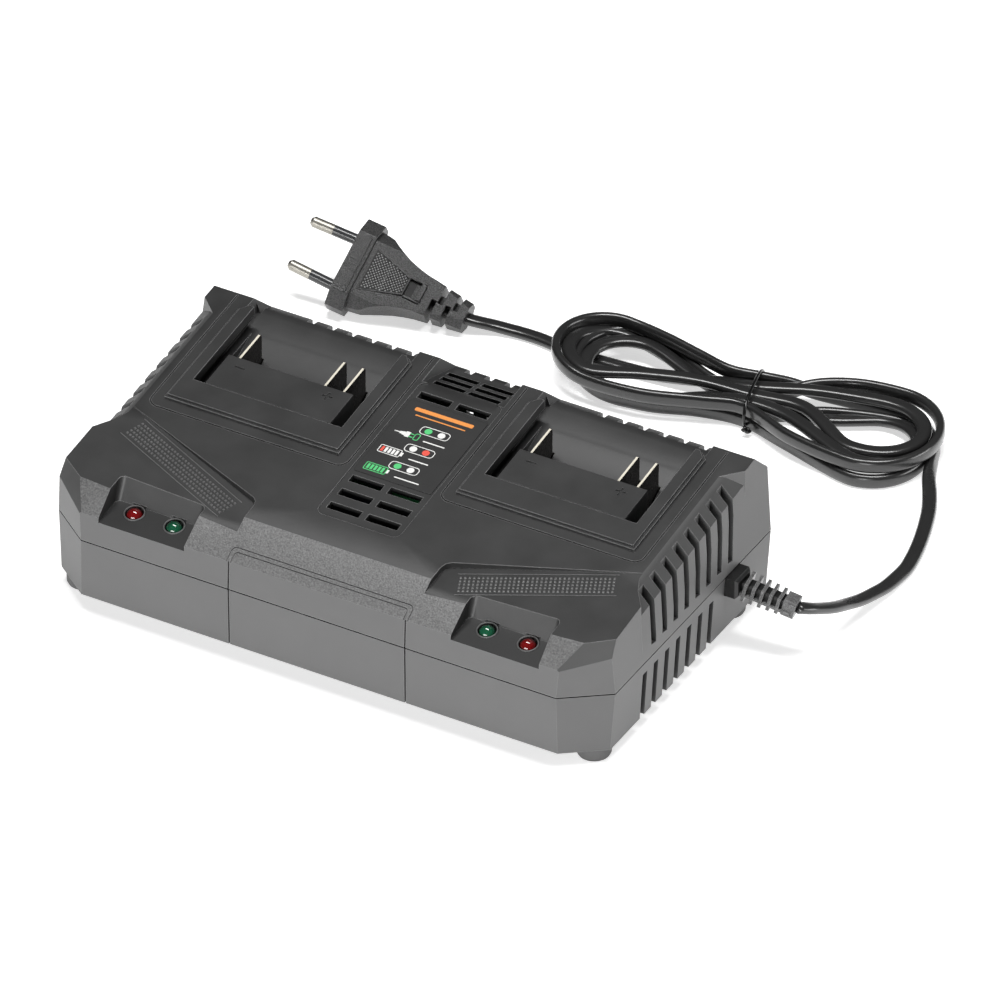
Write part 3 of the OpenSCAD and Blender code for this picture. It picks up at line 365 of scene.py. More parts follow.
FINISHES = {
    "case_lower": ABS_WALL_LIT,
    "case_upper": ABS_UPPER,
    "label": LABEL_SKIN,
    "foot_rubber": RUBBER,
    "screw_steel": Metal("steel zinc plated", "#a8abae", "#8b8e92", roughness=0.32),
    "circuit_board": Board(),
    "block_plastic": ABS_BLOCK,
    "contact_metal": BLADE_FACE,
    "lamp_red": Lens("epoxy red", "#7a1013", "#2c0405"),
    "lamp_green": Lens("epoxy green", "#1b5a3e", "#08251a"),
    "ferrite": Moulded("ferrite", "#3b3a3c", "#565557", roughness=0.6, grain_mm=0.4, relief=0.3),
    "coil_tape": Moulded("polyester tape", "#c9a227", "#d9b94e", roughness=0.3, grain_mm=0.8, relief=0.2),
    "capacitor_sleeve": Moulded("PET sleeve", "#1d2a4a", "#31426b", roughness=0.3, grain_mm=0.8,
                                relief=0.12),
    "heatsink_metal": Metal("aluminium extruded", "#b7babd", "#989b9f", roughness=0.36),
    "moulded_black": Moulded("epoxy moulding", "#18191a", "#333436", roughness=0.5, grain_mm=0.3,
                             relief=0.25),
    "choke_copper": Metal("copper enamelled", "#b8693a", "#8e4a26", roughness=0.25),
    "fuse_glass": Moulded("ceramic fuse body", "#d8d4c8", "#e6e3da", roughness=0.2, grain_mm=0.8,
                          relief=0.08),
    "film_capacitor": Moulded("epoxy dipped yellow", "#c8a53a", "#dcbf62", roughness=0.3, grain_mm=0.8,
                              relief=0.12),
    "gland_rubber": PVC_GLAND,
    "lead_brown": Moulded("PVC brown", "#5a3621", "#774a30", roughness=0.35, grain_mm=0.8, relief=0.1),
    "lead_blue": Moulded("PVC blue", "#1f4f8f", "#3b6cae", roughness=0.35, grain_mm=0.8, relief=0.1),
    "cord_sheath": PVC_CORD,
    "tie_plastic": PVC_TIE,
    "plug_plastic": PVC_PLUG,
    "pin_metal": Metal("brass nickel plated", "#a9a69e", "#918e86", roughness=0.42, line_mm=0.5,
                       along=(1.0, 1.0, 1.0), edge="#b8b5ae", relief=0.0),
    "pin_sleeve": Moulded("polyamide sleeve", "#3a3b3d", "#6a6b6d", roughness=0.25, grain_mm=0.5,
                          relief=0.08, mottle=0.04, edge_mm=0.15, gloss=0.3),
}

INK_WHITE = Ink("ink white", "#f2f2f0")
INK_GREEN = Ink("ink green", "#58d07e")
INK_RED = Ink("ink red", "#ee5a4a")
INK_ORANGE = Ink("ink orange", "#f39a4a")


class Palette:
    """Builds each finish once and hands it out."""

    def __init__(self) -> None:
        """Start with nothing built."""
        self.made: dict[str, bpy.types.Material] = {}

    def get(self, finish) -> bpy.types.Material:
        """Give a finish's material."""
        if finish.name not in self.made:
            self.made[finish.name] = finish.build()
        return self.made[finish.name]


PALETTE = Palette()


# ---------- pieces ----------


def placed(name: str, data: bpy.types.ID) -> bpy.types.Object:
    """Make an object from its data and put it in the scene."""
    obj = bpy.data.objects.new(name, data)
    bpy.context.scene.collection.objects.link(obj)
    return obj


def piece(name: str, mesh: bpy.types.Mesh, slot: str, *finishes) -> bpy.types.Object:
    """Put a mesh in the scene as a piece of the object.

    Args:
        name: The piece's name.
        mesh: Its mesh, in metres, in the part's frame.
        slot: The name of its finish's slot, which is not used.
        finishes: Its finishes, in the order of the material indices.

    Returns:
        The piece, riding on the body.
    """
    obj = placed(name, mesh)
    for finish in finishes:
        mesh.materials.append(PALETTE.get(finish))
    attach(obj, BODY)
    return obj


def mesh_of(name: str, points: Sequence, faces: Sequence, smooth: bool = False) -> bpy.types.Mesh:
    """Make a mesh from points and faces, with its faces turned outwards."""
    mesh = bpy.data.meshes.new(name)
    mesh.from_pydata([tuple(p) for p in points], [], [tuple(f) for f in faces])
    work = bmesh.new()
    work.from_mesh(mesh)
    bmesh.ops.recalc_face_normals(work, faces=work.faces)
    work.to_mesh(mesh)
    work.free()
    for polygon in mesh.polygons:
        polygon.use_smooth = smooth
    return mesh


class Solids:
    """Collects closed prisms and studs into one mesh."""

    def __init__(self) -> None:
        """Start empty."""
        self.points: list[Vector] = []
        self.faces: list[tuple[int, ...]] = []
        self.tints: list[int] = []

    def prism(self, base: Sequence[Vector], top: Sequence[Vector], tint: int = 0) -> None:
        """Add a closed solid between two loops of the same number of points."""
        start = len(self.points)
        count = len(base)
        self.points += list(base) + list(top)
        sides = [(start + k, start + (k + 1) % count, start + count + (k + 1) % count, start + count + k)
                 for k in range(count)]
        ends = [tuple(start + k for k in reversed(range(count))),
                tuple(start + count + k for k in range(count))]
        self.faces += sides + ends
        self.tints += [tint] * (count + 2)

    def band(self, outer: Sequence[Vector], inner: Sequence[Vector], rise: Vector, tint: int = 0) -> None:
        """Add a closed rim between an outer and an inner loop, raised by rise."""
        count = len(outer)
        for k in range(count):
            n = (k + 1) % count
            corner = [outer[k], outer[n], inner[n], inner[k]]
            self.prism(corner, [c + rise for c in corner], tint)

    def mesh(self, name: str, smooth: bool = False) -> bpy.types.Mesh:
        """Give the collected mesh."""
        mesh = mesh_of(name, self.points, self.faces, smooth)
        for polygon, tint in zip(mesh.polygons, self.tints):
            polygon.material_index = tint
        return mesh


@dataclass
class DeckPlane:
    """The sloping deck, in which prints and fields are drawn flat.

    Attributes:
        depth: Depth of the case, in mm.
        foot: Height of the feet.
        edge: Distance of the deck's front edge behind the front wall, and its height over the case's bottom.
        slope: Its slope in degrees.
    """

    depth: float = 121.0
    foot: float = 5.0
    edge: Row = (14.5, 43.0)
    slope: float = 7.7

    def normal(self) -> Vector:
        """Give the direction out of the deck."""
        angle = math.radians(self.slope)
        return Vector((0, -math.sin(angle), math.cos(angle)))

    def at(self, x: float, y: float, lift: float = 0.0) -> Vector:
        """Give the point over a place in plan, in metres.

        Args:
            x: Distance from the middle, in mm.
            y: Distance behind the front wall, in mm.
            lift: Height over the deck, in mm.

        Returns:
            The point in the part's frame.
        """
        rise = (y - self.edge[0]) * math.tan(math.radians(self.slope))
        point = Vector((x, y - self.depth / 2, self.foot + self.edge[1] + rise)) + self.normal() * lift
        return point * MM


DECK = DeckPlane()


def rounded(x0: float, y0: float, x1: float, y1: float, radius: float, steps: int = 6) -> list[Row]:
    """Give the outline of a rounded rectangle, counter-clockwise."""
    centres = ((x1 - radius, y1 - radius, 0), (x0 + radius, y1 - radius, 90),
               (x0 + radius, y0 + radius, 180), (x1 - radius, y0 + radius, 270))
    outline = []
    for cx, cy, start in centres:
        for k in range(steps + 1):
            angle = math.radians(start + 90 * k / steps)
            outline.append((cx + radius * math.cos(angle), cy + radius * math.sin(angle)))
    return outline


def bar(x0: float, y0: float, x1: float, y1: float) -> list[Row]:
    """Give a rectangle's outline, counter-clockwise."""
    return [(x0, y0), (x1, y0), (x1, y1), (x0, y1)]


def between(value: float, span: Row) -> bool:
    """Say whether a value lies inside a span."""
    return span[0] < value < span[1]


def disc(x: float, y: float, radius: float, steps: int = 20) -> list[Row]:
    """Give a circle's outline."""
    return [(x + radius * math.cos(2 * math.pi * k / steps), y + radius * math.sin(2 * math.pi * k / steps))
            for k in range(steps)]


# ---------- the case ----------


@dataclass
class Casing:
    """The carried-over CAD nodes of the case and what is in it.

    Attributes:
        weld: Distance under which split corners are joined.
        crease: Angle over which an edge stays sharp, in degrees.
        strip_rear: Rear end of the grained strip, in metres.
        strip_lean: Shares of its faces' direction to the front, between which they lie.
        strip_rise: The same upwards.
        strip_side: Largest share of it sideways.
        wall_x: Distance from the middle past which upright faces are outer walls.
        wall_y: The same towards the front and the rear.
        wall_rise: Largest upward share of an outer wall's direction.
        corner_rise: Largest upward share of a cut-off corner's direction.
        floor_rise: Least upward share of a pocket floor's direction.
        vent_x: Distance from the middle past which faces across the case are walls of the side vents.
        vent_y: Where the side vents begin and end.
        vent_turn: Least share of a vent wall's direction along the case.
        joint_z: Lowest and highest part of the joint between the shells.
        pocket_z: Heights between which the floors of the lamp pockets lie.
        pocket_x: Distances from the middle between which they lie.
    """

    weld: float = 0.002 * MM
    crease: float = 32.0
    strip_rear: float = -45.6 * MM
    strip_lean: Row = (-0.8, -0.25)
    strip_rise: Row = (0.3, 0.95)
    strip_side: float = 0.3
    wall_x: float = 92.5 * MM
    wall_y: float = 57 * MM
    wall_rise: float = 0.22
    corner_rise: float = 0.93
    floor_rise: float = 0.95
    vent_x: float = 86 * MM
    vent_y: Row = (-30 * MM, 40 * MM)
    vent_turn: float = 0.7
    joint_z: Row = (27.5 * MM, 28.1 * MM)
    pocket_z: Row = (36.5 * MM, 39.5 * MM)
    pocket_x: Row = (52 * MM, 90 * MM)

    def smooth(self, obj: bpy.types.Object) -> None:
        """Join the split corners of a node and shade its round faces smoothly."""
        for polygon in obj.data.polygons:
            polygon.use_smooth = True
        weld = obj.modifiers.new("weld", "WELD")
        weld.merge_threshold = self.weld
        split = obj.modifiers.new("crease", "EDGE_SPLIT")
        split.split_angle = math.radians(self.crease)

    def add_finishes(self, obj: bpy.types.Object, *finishes) -> range:
        """Add finishes to a node and give their material indices."""
        first = len(obj.data.materials)
        for finish in finishes:
            obj.data.materials.append(PALETTE.get(finish))
        return range(first, len(obj.data.materials))

    def grained(self, obj: bpy.types.Object) -> None:
        """Give the cover's front strip its grain finish, and paint light and shade by the faces' direction: a
        lighter tone on the outer walls, a half tone on the cut-off corners, near black on the pocket floors.
        """
        finishes = (ABS_GRAINED, ABS_WALL_LIT, ABS_POCKET, ABS_CORNER)
        strip, wall, pocket, corner = self.add_finishes(obj, *finishes)
        for polygon in obj.data.polygons:
            normal, place = polygon.normal, polygon.center
            ahead = place.y < self.strip_rear
            sloping = between(normal.y, self.strip_lean) and between(normal.z, self.strip_rise)
            outer = abs(place.x) > self.wall_x or abs(place.y) > self.wall_y
            sunk = between(place.z, self.pocket_z) and between(abs(place.x), self.pocket_x)
            if ahead and sloping and abs(normal.x) < self.strip_side:
                polygon.material_index = strip
            # Painted light: upright outer faces take the lighter wall tone, and slanted outer faces a half
            # tone between it and the deck's.
            elif outer and abs(normal.z) < self.wall_rise:
                polygon.material_index = wall
            elif outer and self.wall_rise <= normal.z < self.corner_rise:
                polygon.material_index = corner
            # Painted shade: the floors of the lamp pockets go near black.
            elif ahead and sunk and normal.z > self.floor_rise:
                polygon.material_index = pocket

    def edged(self, obj: bpy.types.Object) -> None:
        """Give the narrow faces of a contact blade the finish of a cut edge, painted near white as their
        highlight.
        """
        self.add_finishes(obj, BLADE_EDGE)
        for polygon in obj.data.polygons:
            polygon.material_index = int(abs(polygon.normal.x) < 0.5)

    def recessed(self, obj: bpy.types.Object) -> None:
        """Give a shell's vent walls and the faces in the joint their finishes of painted shade."""
        vent, joint = self.add_finishes(obj, ABS_VENT, ABS_JOINT)
        for polygon in obj.data.polygons:
            normal, place = polygon.normal, polygon.center
            among = between(place.y, self.vent_y) and abs(place.x) > self.vent_x
            if among and abs(normal.y) > self.vent_turn:
                polygon.material_index = vent
            elif between(place.z, self.joint_z):
                polygon.material_index = joint

    def dress(self, nodes: dict[str, bpy.types.Object]) -> None:
        """Give every node its finish."""
        for name, obj in nodes.items():
            slot = obj.data.materials[0].name.split(".")[0]
            obj.data.materials.clear()
            obj.data.materials.append(PALETTE.get(FINISHES[slot]))
            self.smooth(obj)
            if name.startswith("blade_"):
                self.edged(obj)
        self.grained(nodes["top_cover"])
        self.recessed(nodes["top_cover"])
        self.recessed(nodes["base_shell"])
        LOG.info("dressed %d nodes", len(nodes))


@dataclass
class DotField:
    """The two slanting fields of small raised squares on the front corners of the deck.

    Attributes:
        corner: Front inner corner of a field, in plan, in mm.
        angle: Angle of its rows.
        rows: Number of rows and columns.
        pitch: Distance between dots along and across the rows.
        dot: Width of a dot at its foot and at its top, and its height.
        root: How far the dots and rims reach into the face.
        rim: How far a field's two rims stand out past its first dots, their width and their height.
        rim_gap: Distance of the rims before and behind the dots.
        face_at: Place in plan at which the sunken face's height is given.
        face: That height, and the face's rise per mm sideways and back.
    """

    corner: Row = (46.2, 15.2)
    angle: float = 22.3
    rows: tuple[int, int] = (5, 35)
    pitch: Row = (1.52, 1.6)
    dot: Point = (0.9, 0.55, 0.35)
    root: float = 0.1
    rim: Point = (1.2, 0.28, 0.3)
    rim_gap: Row = (2.0, 0.2)
    face_at: Row = (37.2, 10.3)
    face: Point = (40.03, 0.031, 0.1472)

    def surface(self, x: float, y: float) -> Vector:
        """Give the point on the sunken corner's face, in metres."""
        level, sideways, back = self.face
        height = level + sideways * (abs(x) - self.face_at[0]) + back * (y - self.face_at[1])
        return Vector((x, y - DECK.depth / 2, DECK.foot + height)) * MM

    def spot(self, side: int, along: float, across: float) -> Vector:
        """Give the point at a place in the field's own directions."""
        angle = math.radians(self.angle)
        x = self.corner[0] + along * math.cos(angle) - across * math.sin(angle)
        y = self.corner[1] + along * math.sin(angle) + across * math.cos(angle)
        return self.surface(side * x, y)

    def build(self, side: int, name: str) -> bpy.types.Object:
        """Make one field.

        Args:
            side: -1 for the left field, 1 for the right one.
            name: The piece's name.

        Returns:
            The piece.
        """
        solids = Solids()
        foot, top, height = self.dot
        up = Vector((0, 0, 1))
        for row in range(self.rows[0]):
            for column in range(self.rows[1]):
                along, across = column * self.pitch[0], row * self.pitch[1]
                corners = ((-1, -1), (1, -1), (1, 1), (-1, 1))
                base = [self.spot(side, along + a * foot / 2, across + b * foot / 2) - up * self.root * MM
                        for a, b in corners]
                lid = [self.spot(side, along + a * top / 2, across + b * top / 2) + up * height * MM
                       for a, b in corners]
                solids.prism(base, lid)
        length = self.rows[1] * self.pitch[0]
        width = self.rows[0] * self.pitch[1]
        before, wide, high = self.rim
        for across in (-self.rim_gap[0], width + self.rim_gap[1]):
            base = [self.spot(side, a, across + b) - up * self.root * MM
                    for a, b in bar(-before, 0, length, wide)]
            solids.prism(base, [p + up * high * MM for p in base])
        return piece(name, solids.mesh(name), "case_upper", ABS_DOT)


@dataclass
class LampCollars:
    """The rounded rims of the holes that the charge lamps stand in.

    Attributes:
        radius: Radius of a rim's middle line, in mm.
        tube: Radius of its section.
        level: Height of the pocket's floor at the lamps.
        slope: Slope of that floor in degrees.
    """

    radius: float = 3.5
    tube: float = 0.3
    level: float = 38.85
    slope: float = 10.4

    def rim(self, solids: Solids, x: float, y: float) -> None:
        """Add the rim around a lamp's middle, in mm."""
        tilt = math.tan(math.radians(self.slope))
        around, across = 36, 8
        start = len(solids.points)
        for i in range(around):
            turn = 2 * math.pi * i / around
            for j in range(across):
                angle = 2 * math.pi * j / across
                reach = self.radius + self.tube * math.cos(angle)
                dx, dy = reach * math.cos(turn), reach * math.sin(turn)
                height = self.level + dy * tilt + self.tube * math.sin(angle)
                solids.points.append(Vector((x + dx, y + dy, height)) * MM)
        for i in range(around):
            for j in range(across):
                i2, j2 = (i + 1) % around, (j + 1) % across
                corners = (i * across + j, i2 * across + j, i2 * across + j2, i * across + j2)
                solids.faces.append(tuple(start + c for c in corners))
                solids.tints.append(0)

    def build(self) -> bpy.types.Object:
        """Make the four rims as one piece, each around its lamp."""
        solids = Solids()
        for name in ("lamp_red_left", "lamp_green_left", "lamp_green_right", "lamp_red_right"):
            low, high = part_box(name)
            self.rim(solids, (low[0] + high[0]) / 2 / MM, (low[1] + high[1]) / 2 / MM)
        return piece("lamp_collars", solids.mesh("lamp_collars", smooth=True), "case_upper", ABS_CORNER)


@dataclass
class LabelPrint:
    """The status print of the middle field: lamp capsules and generic pictograms.

    Attributes:
        lift: Height of the ink's foot over the deck, in mm.
        ink: Thickness of the ink.
        line: Width of a printed line.
        capsule: Half width, half depth and corner radius of a lamp pair's capsule.
        lamp: Radius of a printed lamp.
        battery_box: Length and half depth of a battery.
        pole: Length and half depth of its pole.
        cells: Number of its cells.
        cell: Distance of its first cell from its end, distance between cells, their width and half depth.
    """

    lift: float = -0.17
    ink: float = 0.06
    line: float = 0.3
    capsule: Point = (5.6, 2.0, 1.5)
    lamp: float = 1.35
    battery_box: Row = (8.4, 1.9)
    pole: Row = (0.8, 0.9)
    cells: int = 5
    cell: tuple[float, float, float, float] = (0.9, 1.38, 0.95, 1.2)
    solids: Solids = field(default_factory=Solids)

    def area(self, outline: Sequence[Row], tint: int) -> None:
        """Print a filled shape."""
        self.solids.prism([DECK.at(x, y, self.lift) for x, y in outline],
                          [DECK.at(x, y, self.lift + self.ink) for x, y in outline], tint)

    def frame(self, box: tuple[float, float, float, float], radius: float, tint: int) -> None:
        """Print a rounded frame.

        Args:
            box: Its lowest and highest corners in plan.
            radius: Its corner radius.
            tint: Its ink.
        """
        x0, y0, x1, y1 = box
        w = self.line
        outer = rounded(x0, y0, x1, y1, radius)
        inner = rounded(x0 + w, y0 + w, x1 - w, y1 - w, max(radius - w, 0.05))
        self.solids.band([DECK.at(x, y, self.lift) for x, y in outer],
                         [DECK.at(x, y, self.lift) for x, y in inner], DECK.normal() * self.ink * MM, tint)

    def lamp_pair(self, y: float, left: tuple[float, int], right: tuple[float, int]) -> None:
        """Print two round lamps in a capsule.

        Args:
            y: Its middle.
            left: Place and ink of the left lamp.
            right: Place and ink of the right lamp.
        """
        middle = (left[0] + right[0]) / 2
        half, deep, radius = self.capsule
        self.frame((middle - half, y - deep, middle + half, y + deep), radius, 0)
        for x, tint in (left, right):
            self.area(disc(x, y, self.lamp), tint)

    def battery(self, x0: float, y: float, level: int, tint: int) -> None:
        """Print a battery with some of its cells filled.

        Args:
            x0: Its left end.
            y: Its middle.
            level: Number of filled cells.
            tint: Their ink.
        """
        length, deep = self.battery_box
        self.frame((x0, y - deep, x0 + length, y + deep), 0.6, tint if level > 1 else 0)
        self.area(bar(x0 + length, y - self.pole[1], x0 + length + self.pole[0], y + self.pole[1]), 0)
        first, pitch, width, deep = self.cell
        for k in range(self.cells):
            left = x0 + first + k * pitch
            self.area(bar(left, y - deep, left + width, y + deep), tint if k < level else 0)

    def mains(self, x0: float, y: float) -> None:
        """Print a plug that goes into a socket."""
        head = bar(x0 + 3.0, y - 1.3, x0 + 4.6, y + 1.3)
        neck = [(x0 + 0.8, y - 0.45), (x0 + 3.1, y - 1.0), (x0 + 3.1, y + 1.0), (x0 + 0.8, y + 0.45)]
        lead = bar(x0 - 1.2, y - 0.2, x0 + 0.9, y + 0.2)
        for shape in (head, neck, lead):
            self.area(shape, 0)
        for offset in (-0.75, 0.75):
            prong = rounded(x0 + 4.5, y + offset - 0.2, x0 + 6.0, y + offset + 0.2, 0.15, 2)
            self.area(prong, 1)
        self.frame((x0 + 6.3, y - 1.7, x0 + 8.4, y + 1.7), 0.8, 1)

    def build(self) -> bpy.types.Object:
        """Make the print as one piece."""
        white, green, red, orange = range(4)
        self.area(rounded(-11.2, 85.9, 11.4, 87.6, 0.4, 3), orange)
        self.area(rounded(-9.6, 83.7, 9.8, 84.2, 0.2, 3), orange)
        self.lamp_pair(78.3, (-1.3, green), (3.8, white))
        self.lamp_pair(68.5, (-1.6, white), (3.3, red))
        self.lamp_pair(58.7, (-2.1, green), (2.9, white))
        self.mains(-10.9, 74.2)
        self.battery(-12.6, 64.4, 1, red)
        self.battery(-12.6, 54.8, 5, green)
        for y, reach in ((73.3, 8.4), (63.4, 7.6), (53.6, 9.6)):
            self.area(rounded(-0.6, y - 0.25, -0.6 + reach, y + 0.25, 0.2, 3), white)
        mesh = self.solids.mesh("label_print")
        return piece("label_print", mesh, "label", INK_WHITE, INK_GREEN, INK_RED, INK_ORANGE)


# ---------- the lead ----------


@dataclass(frozen=True)
class Lobe:
    """An outer bend of the bundle, in mm.

    Attributes:
        centre: Its middle in plan.
        reach: Its half width and half depth.
        rise: Heights at its start, middle and end.
        arc: Angles at which it begins and ends, in degrees.
    """

    centre: Row
    reach: Row
    rise: Point
    arc: Row

    def points(self, step: float) -> list[Point]:
        """Give its points, about step degrees apart."""
        first, last = self.arc
        count = max(2, round((last - first) / step))
        points = []
        for k in range(count + 1):
            t = k / count
            angle = math.radians(first + t * (last - first))
            height = self.rise[0] * (1 - t) * (1 - 2 * t) + self.rise[1] * 4 * t * (1 - t)
            height += self.rise[2] * t * (2 * t - 1)
            points.append((self.centre[0] + self.reach[0] * math.cos(angle),
                           self.centre[1] + self.reach[1] * math.sin(angle), height))
        return points


@dataclass(frozen=True)
class Turn:
    """One turn of the bundle.

    Attributes:
        left: Its left lobe, from the rear to the front.
        front: Points of the pass through the waist towards the right, in mm.
        right: Its right lobe, from the front to the rear.
        rear: Points of the pass back towards the left.
    """

    left: Lobe
    front: tuple[Point, ...]
    right: Lobe
    rear: tuple[Point, ...]


LEAD_ROUTE: tuple[Point, ...] = (
    (131, 36.5, 18.6), (133.5, 40, 17), (135.3, 45, 14.5), (137, 51.5, 11.5), (138, 60, 8),
    (139.2, 67.5, 5.5), (140.2, 75.5, 3.6), (141.1, 82.5, 2.4), (141.5, 90, 1.8), (141.6, 96, 1.6),
    (140.8, 102, 1.6), (139.3, 109, 1.6), (137.4, 116, 1.6), (135, 123.5, 1.6), (132.2, 131, 1.6),
    (128.6, 138.5, 1.6), (124.8, 145.4, 1.6), (122.8, 149.5, 1.7),
)
TAIL_ROUTE: tuple[Point, ...] = (
    (-20.5, 154.1, 1.7), (-27, 155, 1.7), (-34, 155.9, 1.7), (-41, 156, 1.7), (-47, 155.2, 2),
    (-52.5, 153.6, 2.9), (-57, 151.2, 4.2), (-60.3, 149.9, 5), (-63, 149.7, 5.6),
)
FIRST_LOBE = Lobe((95.5, 154.5), (24.6, 21.8), (2.0, 2.7, 2.7), (8, 85))
FIRST_REAR: tuple[Point, ...] = (
    (79, 174.5, 2.7), (67, 171.5, 4), (58, 168.5, 6.5), (49, 164.5, 8.3), (38, 162, 8.8), (25, 164.2, 9.3),
    (11, 167, 9.8),
)
LAST_PASS: tuple[Point, ...] = ((10, 155.5, 2.1), (-6, 154.4, 1.8))
TURNS: tuple[Turn, ...] = (
    Turn(Lobe((-4, 150.5), (19, 18.5), (9.9, 11.6, 9.2), (85, 270)),
         ((17.5, 133.5, 9), (37, 141, 8.4), (51, 145.5, 8.2), (74, 137.5, 8.2)),
         Lobe((98, 157), (22, 23), (8.2, 8.3, 8.5), (-100, 100)),
         ((80, 177, 8.4), (68, 170.5, 8.2), (58, 163, 6), (47, 158.5, 3), (30, 161, 3.8))),
    Turn(Lobe((2, 153), (18, 18.2), (5.5, 6.4, 2.7), (68, 290)),
         ((20, 138, 2.7), (35, 143.5, 2.7), (51, 146, 2.7), (70, 141, 2.7)),
         Lobe((100, 152), (17.6, 19), (2.7, 2.7, 2.7), (-105, 105)),
         ((76, 164, 2.7), (51, 150.5, 2.7), (30, 157, 4))),
    Turn(Lobe((3, 151), (15, 14), (6.5, 6.5, 4.5), (68, 285)),
         ((22, 141.5, 4), (37, 147, 6.5), (51, 149.6, 8.2), (67, 149, 8.2)),
         Lobe((98, 153.5), (16, 16.2), (8.2, 5.5, 3), (-105, 105)),
         ((76, 160, 2.7), (51, 154.5, 2.7), (28, 160, 4))),
    Turn(Lobe((-3, 152.5), (16.5, 15), (5.5, 9, 9.4), (80, 262)),
         ((12, 145, 9.3), (31, 151.5, 9), (51, 154, 8.3), (70, 156, 8.3)),
         Lobe((97, 158), (17.5, 15.3), (8.3, 8.3, 8.3), (-105, 95)),
         ((81, 170.5, 8.3), (67, 166.5, 8.3), (51, 159.5, 8.2), (38, 158, 6.5), (24, 157, 3.8))),
)


@dataclass
class MainsLead:
    """The flat mains lead, from the strain relief through its tied bundle to the plug.

    Attributes:
        width: Width of the flat lead, in mm.
        thick: Its thickness.
        step: Distance between the rings of its tube.
        arc_step: Angle between the points of a lobe.
        twist_over: Length over which it turns from flat to on edge.
        flat_until: Place near which it has turned half way onto its edge.
        flat_from: Place near which it turns back.
        twisted: Share of the turn that is made before each of these places.
        sides: Points on each rounded side of its section.
    """

    width: float = 5.4
    thick: float = 3.2
    step: float = 1.3
    arc_step: float = 22.0
    twist_over: float = 40.0
    flat_until: Point = LEAD_ROUTE[-1]
    flat_from: Point = (30, 157, 4.5)
    twisted: Row = (0.5, 0.4)
    sides: int = 7

    def route(self) -> np.ndarray:
        """Give the whole route's points in mm."""
        points = list(LEAD_ROUTE)
        points += FIRST_LOBE.points(self.arc_step)
        points += FIRST_REAR
        for turn in TURNS:
            points += turn.left.points(self.arc_step)
            points += turn.front
            points += turn.right.points(self.arc_step)
            points += turn.rear
        points += LAST_PASS
        points += TAIL_ROUTE
        return np.array(points, float)

    def line(self) -> np.ndarray:
        """Give the smooth centreline in mm, as a centripetal spline through the route."""
        route = self.route()
        gaps = np.sqrt(np.linalg.norm(np.diff(route, axis=0), axis=1))
        times = np.concatenate([[0], np.cumsum(gaps)])
        route = np.vstack([2 * route[0] - route[1], route, 2 * route[-1] - route[-2]])
        times = np.concatenate([[-gaps[0]], times, [times[-1] + gaps[-1]]])
        line = []
        for i in range(1, len(route) - 2):
            p0, p1, p2, p3 = route[i - 1 : i + 3]
            t0, t1, t2, t3 = times[i - 1 : i + 3]
            count = max(2, int(np.linalg.norm(p2 - p1) / self.step))
            for k in range(count):
                t = t1 + (t2 - t1) * k / count
                a1 = ((t1 - t) * p0 + (t - t0) * p1) / (t1 - t0)
                a2 = ((t2 - t) * p1 + (t - t1) * p2) / (t2 - t1)
                a3 = ((t3 - t) * p2 + (t - t2) * p3) / (t3 - t2)
                b1 = ((t2 - t) * a1 + (t - t0) * a2) / (t2 - t0)
                b2 = ((t3 - t) * a2 + (t - t1) * a3) / (t3 - t1)
                line.append(((t2 - t) * b1 + (t - t1) * b2) / (t2 - t1))
        line.append(route[-2])
        return self.settled(np.array(line))

    def settled(self, line: np.ndarray) -> np.ndarray:
        """Lift a centreline where its section, as it turns on edge, would reach under the floor."""
        radius = self.thick / 2
        reach = self.width / 2 - radius
        lowest = radius + reach * np.sin(self.edge_share(line) * math.pi / 2)
        line[:, 2] = np.maximum(line[:, 2], lowest)
        return line

    def section(self) -> list[Row]:
        """Give the section's outline: two flat faces between rounded sides."""
        radius = self.thick / 2
        reach = self.width / 2 - radius
        outline = []
        for side in (1, -1):
            for k in range(self.sides):
                angle = math.pi * (k / (self.sides - 1) - 0.5)
                outline.append((side * (reach + radius * math.cos(angle)), side * radius * math.sin(angle)))
        return outline

    def edge_share(self, line: np.ndarray) -> np.ndarray:
        """Give how far each ring stands on edge, from 0 for flat to 1."""
        walked = np.concatenate([[0], np.cumsum(np.linalg.norm(np.diff(line, axis=0), axis=1))])
        enter, leave = (walked[int(np.argmin(np.linalg.norm(line - np.array(place), axis=1)))]
                        for place in (self.flat_until, self.flat_from))
        rise = np.clip((walked - enter) / self.twist_over + self.twisted[0], 0, 1)
        fall = np.clip((leave - walked) / self.twist_over + self.twisted[1], 0, 1)
        share = np.minimum(rise, fall)
        return share * share * (3 - 2 * share)

    def tube(self, line: np.ndarray) -> bpy.types.Mesh:
        """Make the tube's mesh around a centreline in mm."""
        section = self.section()
        count = len(section)
        heading = np.gradient(line, axis=0)
        heading /= np.linalg.norm(heading, axis=1)[:, None]
        sideways = np.cross([0, 0, 1], heading)
        sideways /= np.linalg.norm(sideways, axis=1)[:, None]
        upward = np.cross(heading, sideways)
        turn = self.edge_share(line) * math.pi / 2
        wide = np.cos(turn)[:, None] * sideways + np.sin(turn)[:, None] * upward
        deep = -np.sin(turn)[:, None] * sideways + np.cos(turn)[:, None] * upward
        points = []
        for middle, w, d in zip(line, wide, deep):
            points += [(middle + w * a + d * b) * MM for a, b in section]
        rings = len(line)
        faces = []
        for i in range(0, (rings - 1) * count, count):
            for k in range(count):
                n = (k + 1) % count
                faces.append((i + k, i + count + k, i + count + n, i + n))
        faces.append(tuple(reversed(range(count))))
        faces.append(tuple((rings - 1) * count + k for k in range(count)))
        return mesh_of("mains_lead", points, faces, smooth=True)

    def build(self) -> bpy.types.Object:
        """Make the lead, standing for its three CAD solids."""
        line = self.line()
        lead = piece("mains_lead", self.tube(line), "cord_sheath", PVC_CORD)
        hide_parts("cord_lead", "cord_hank", "cord_tail")
        return lead


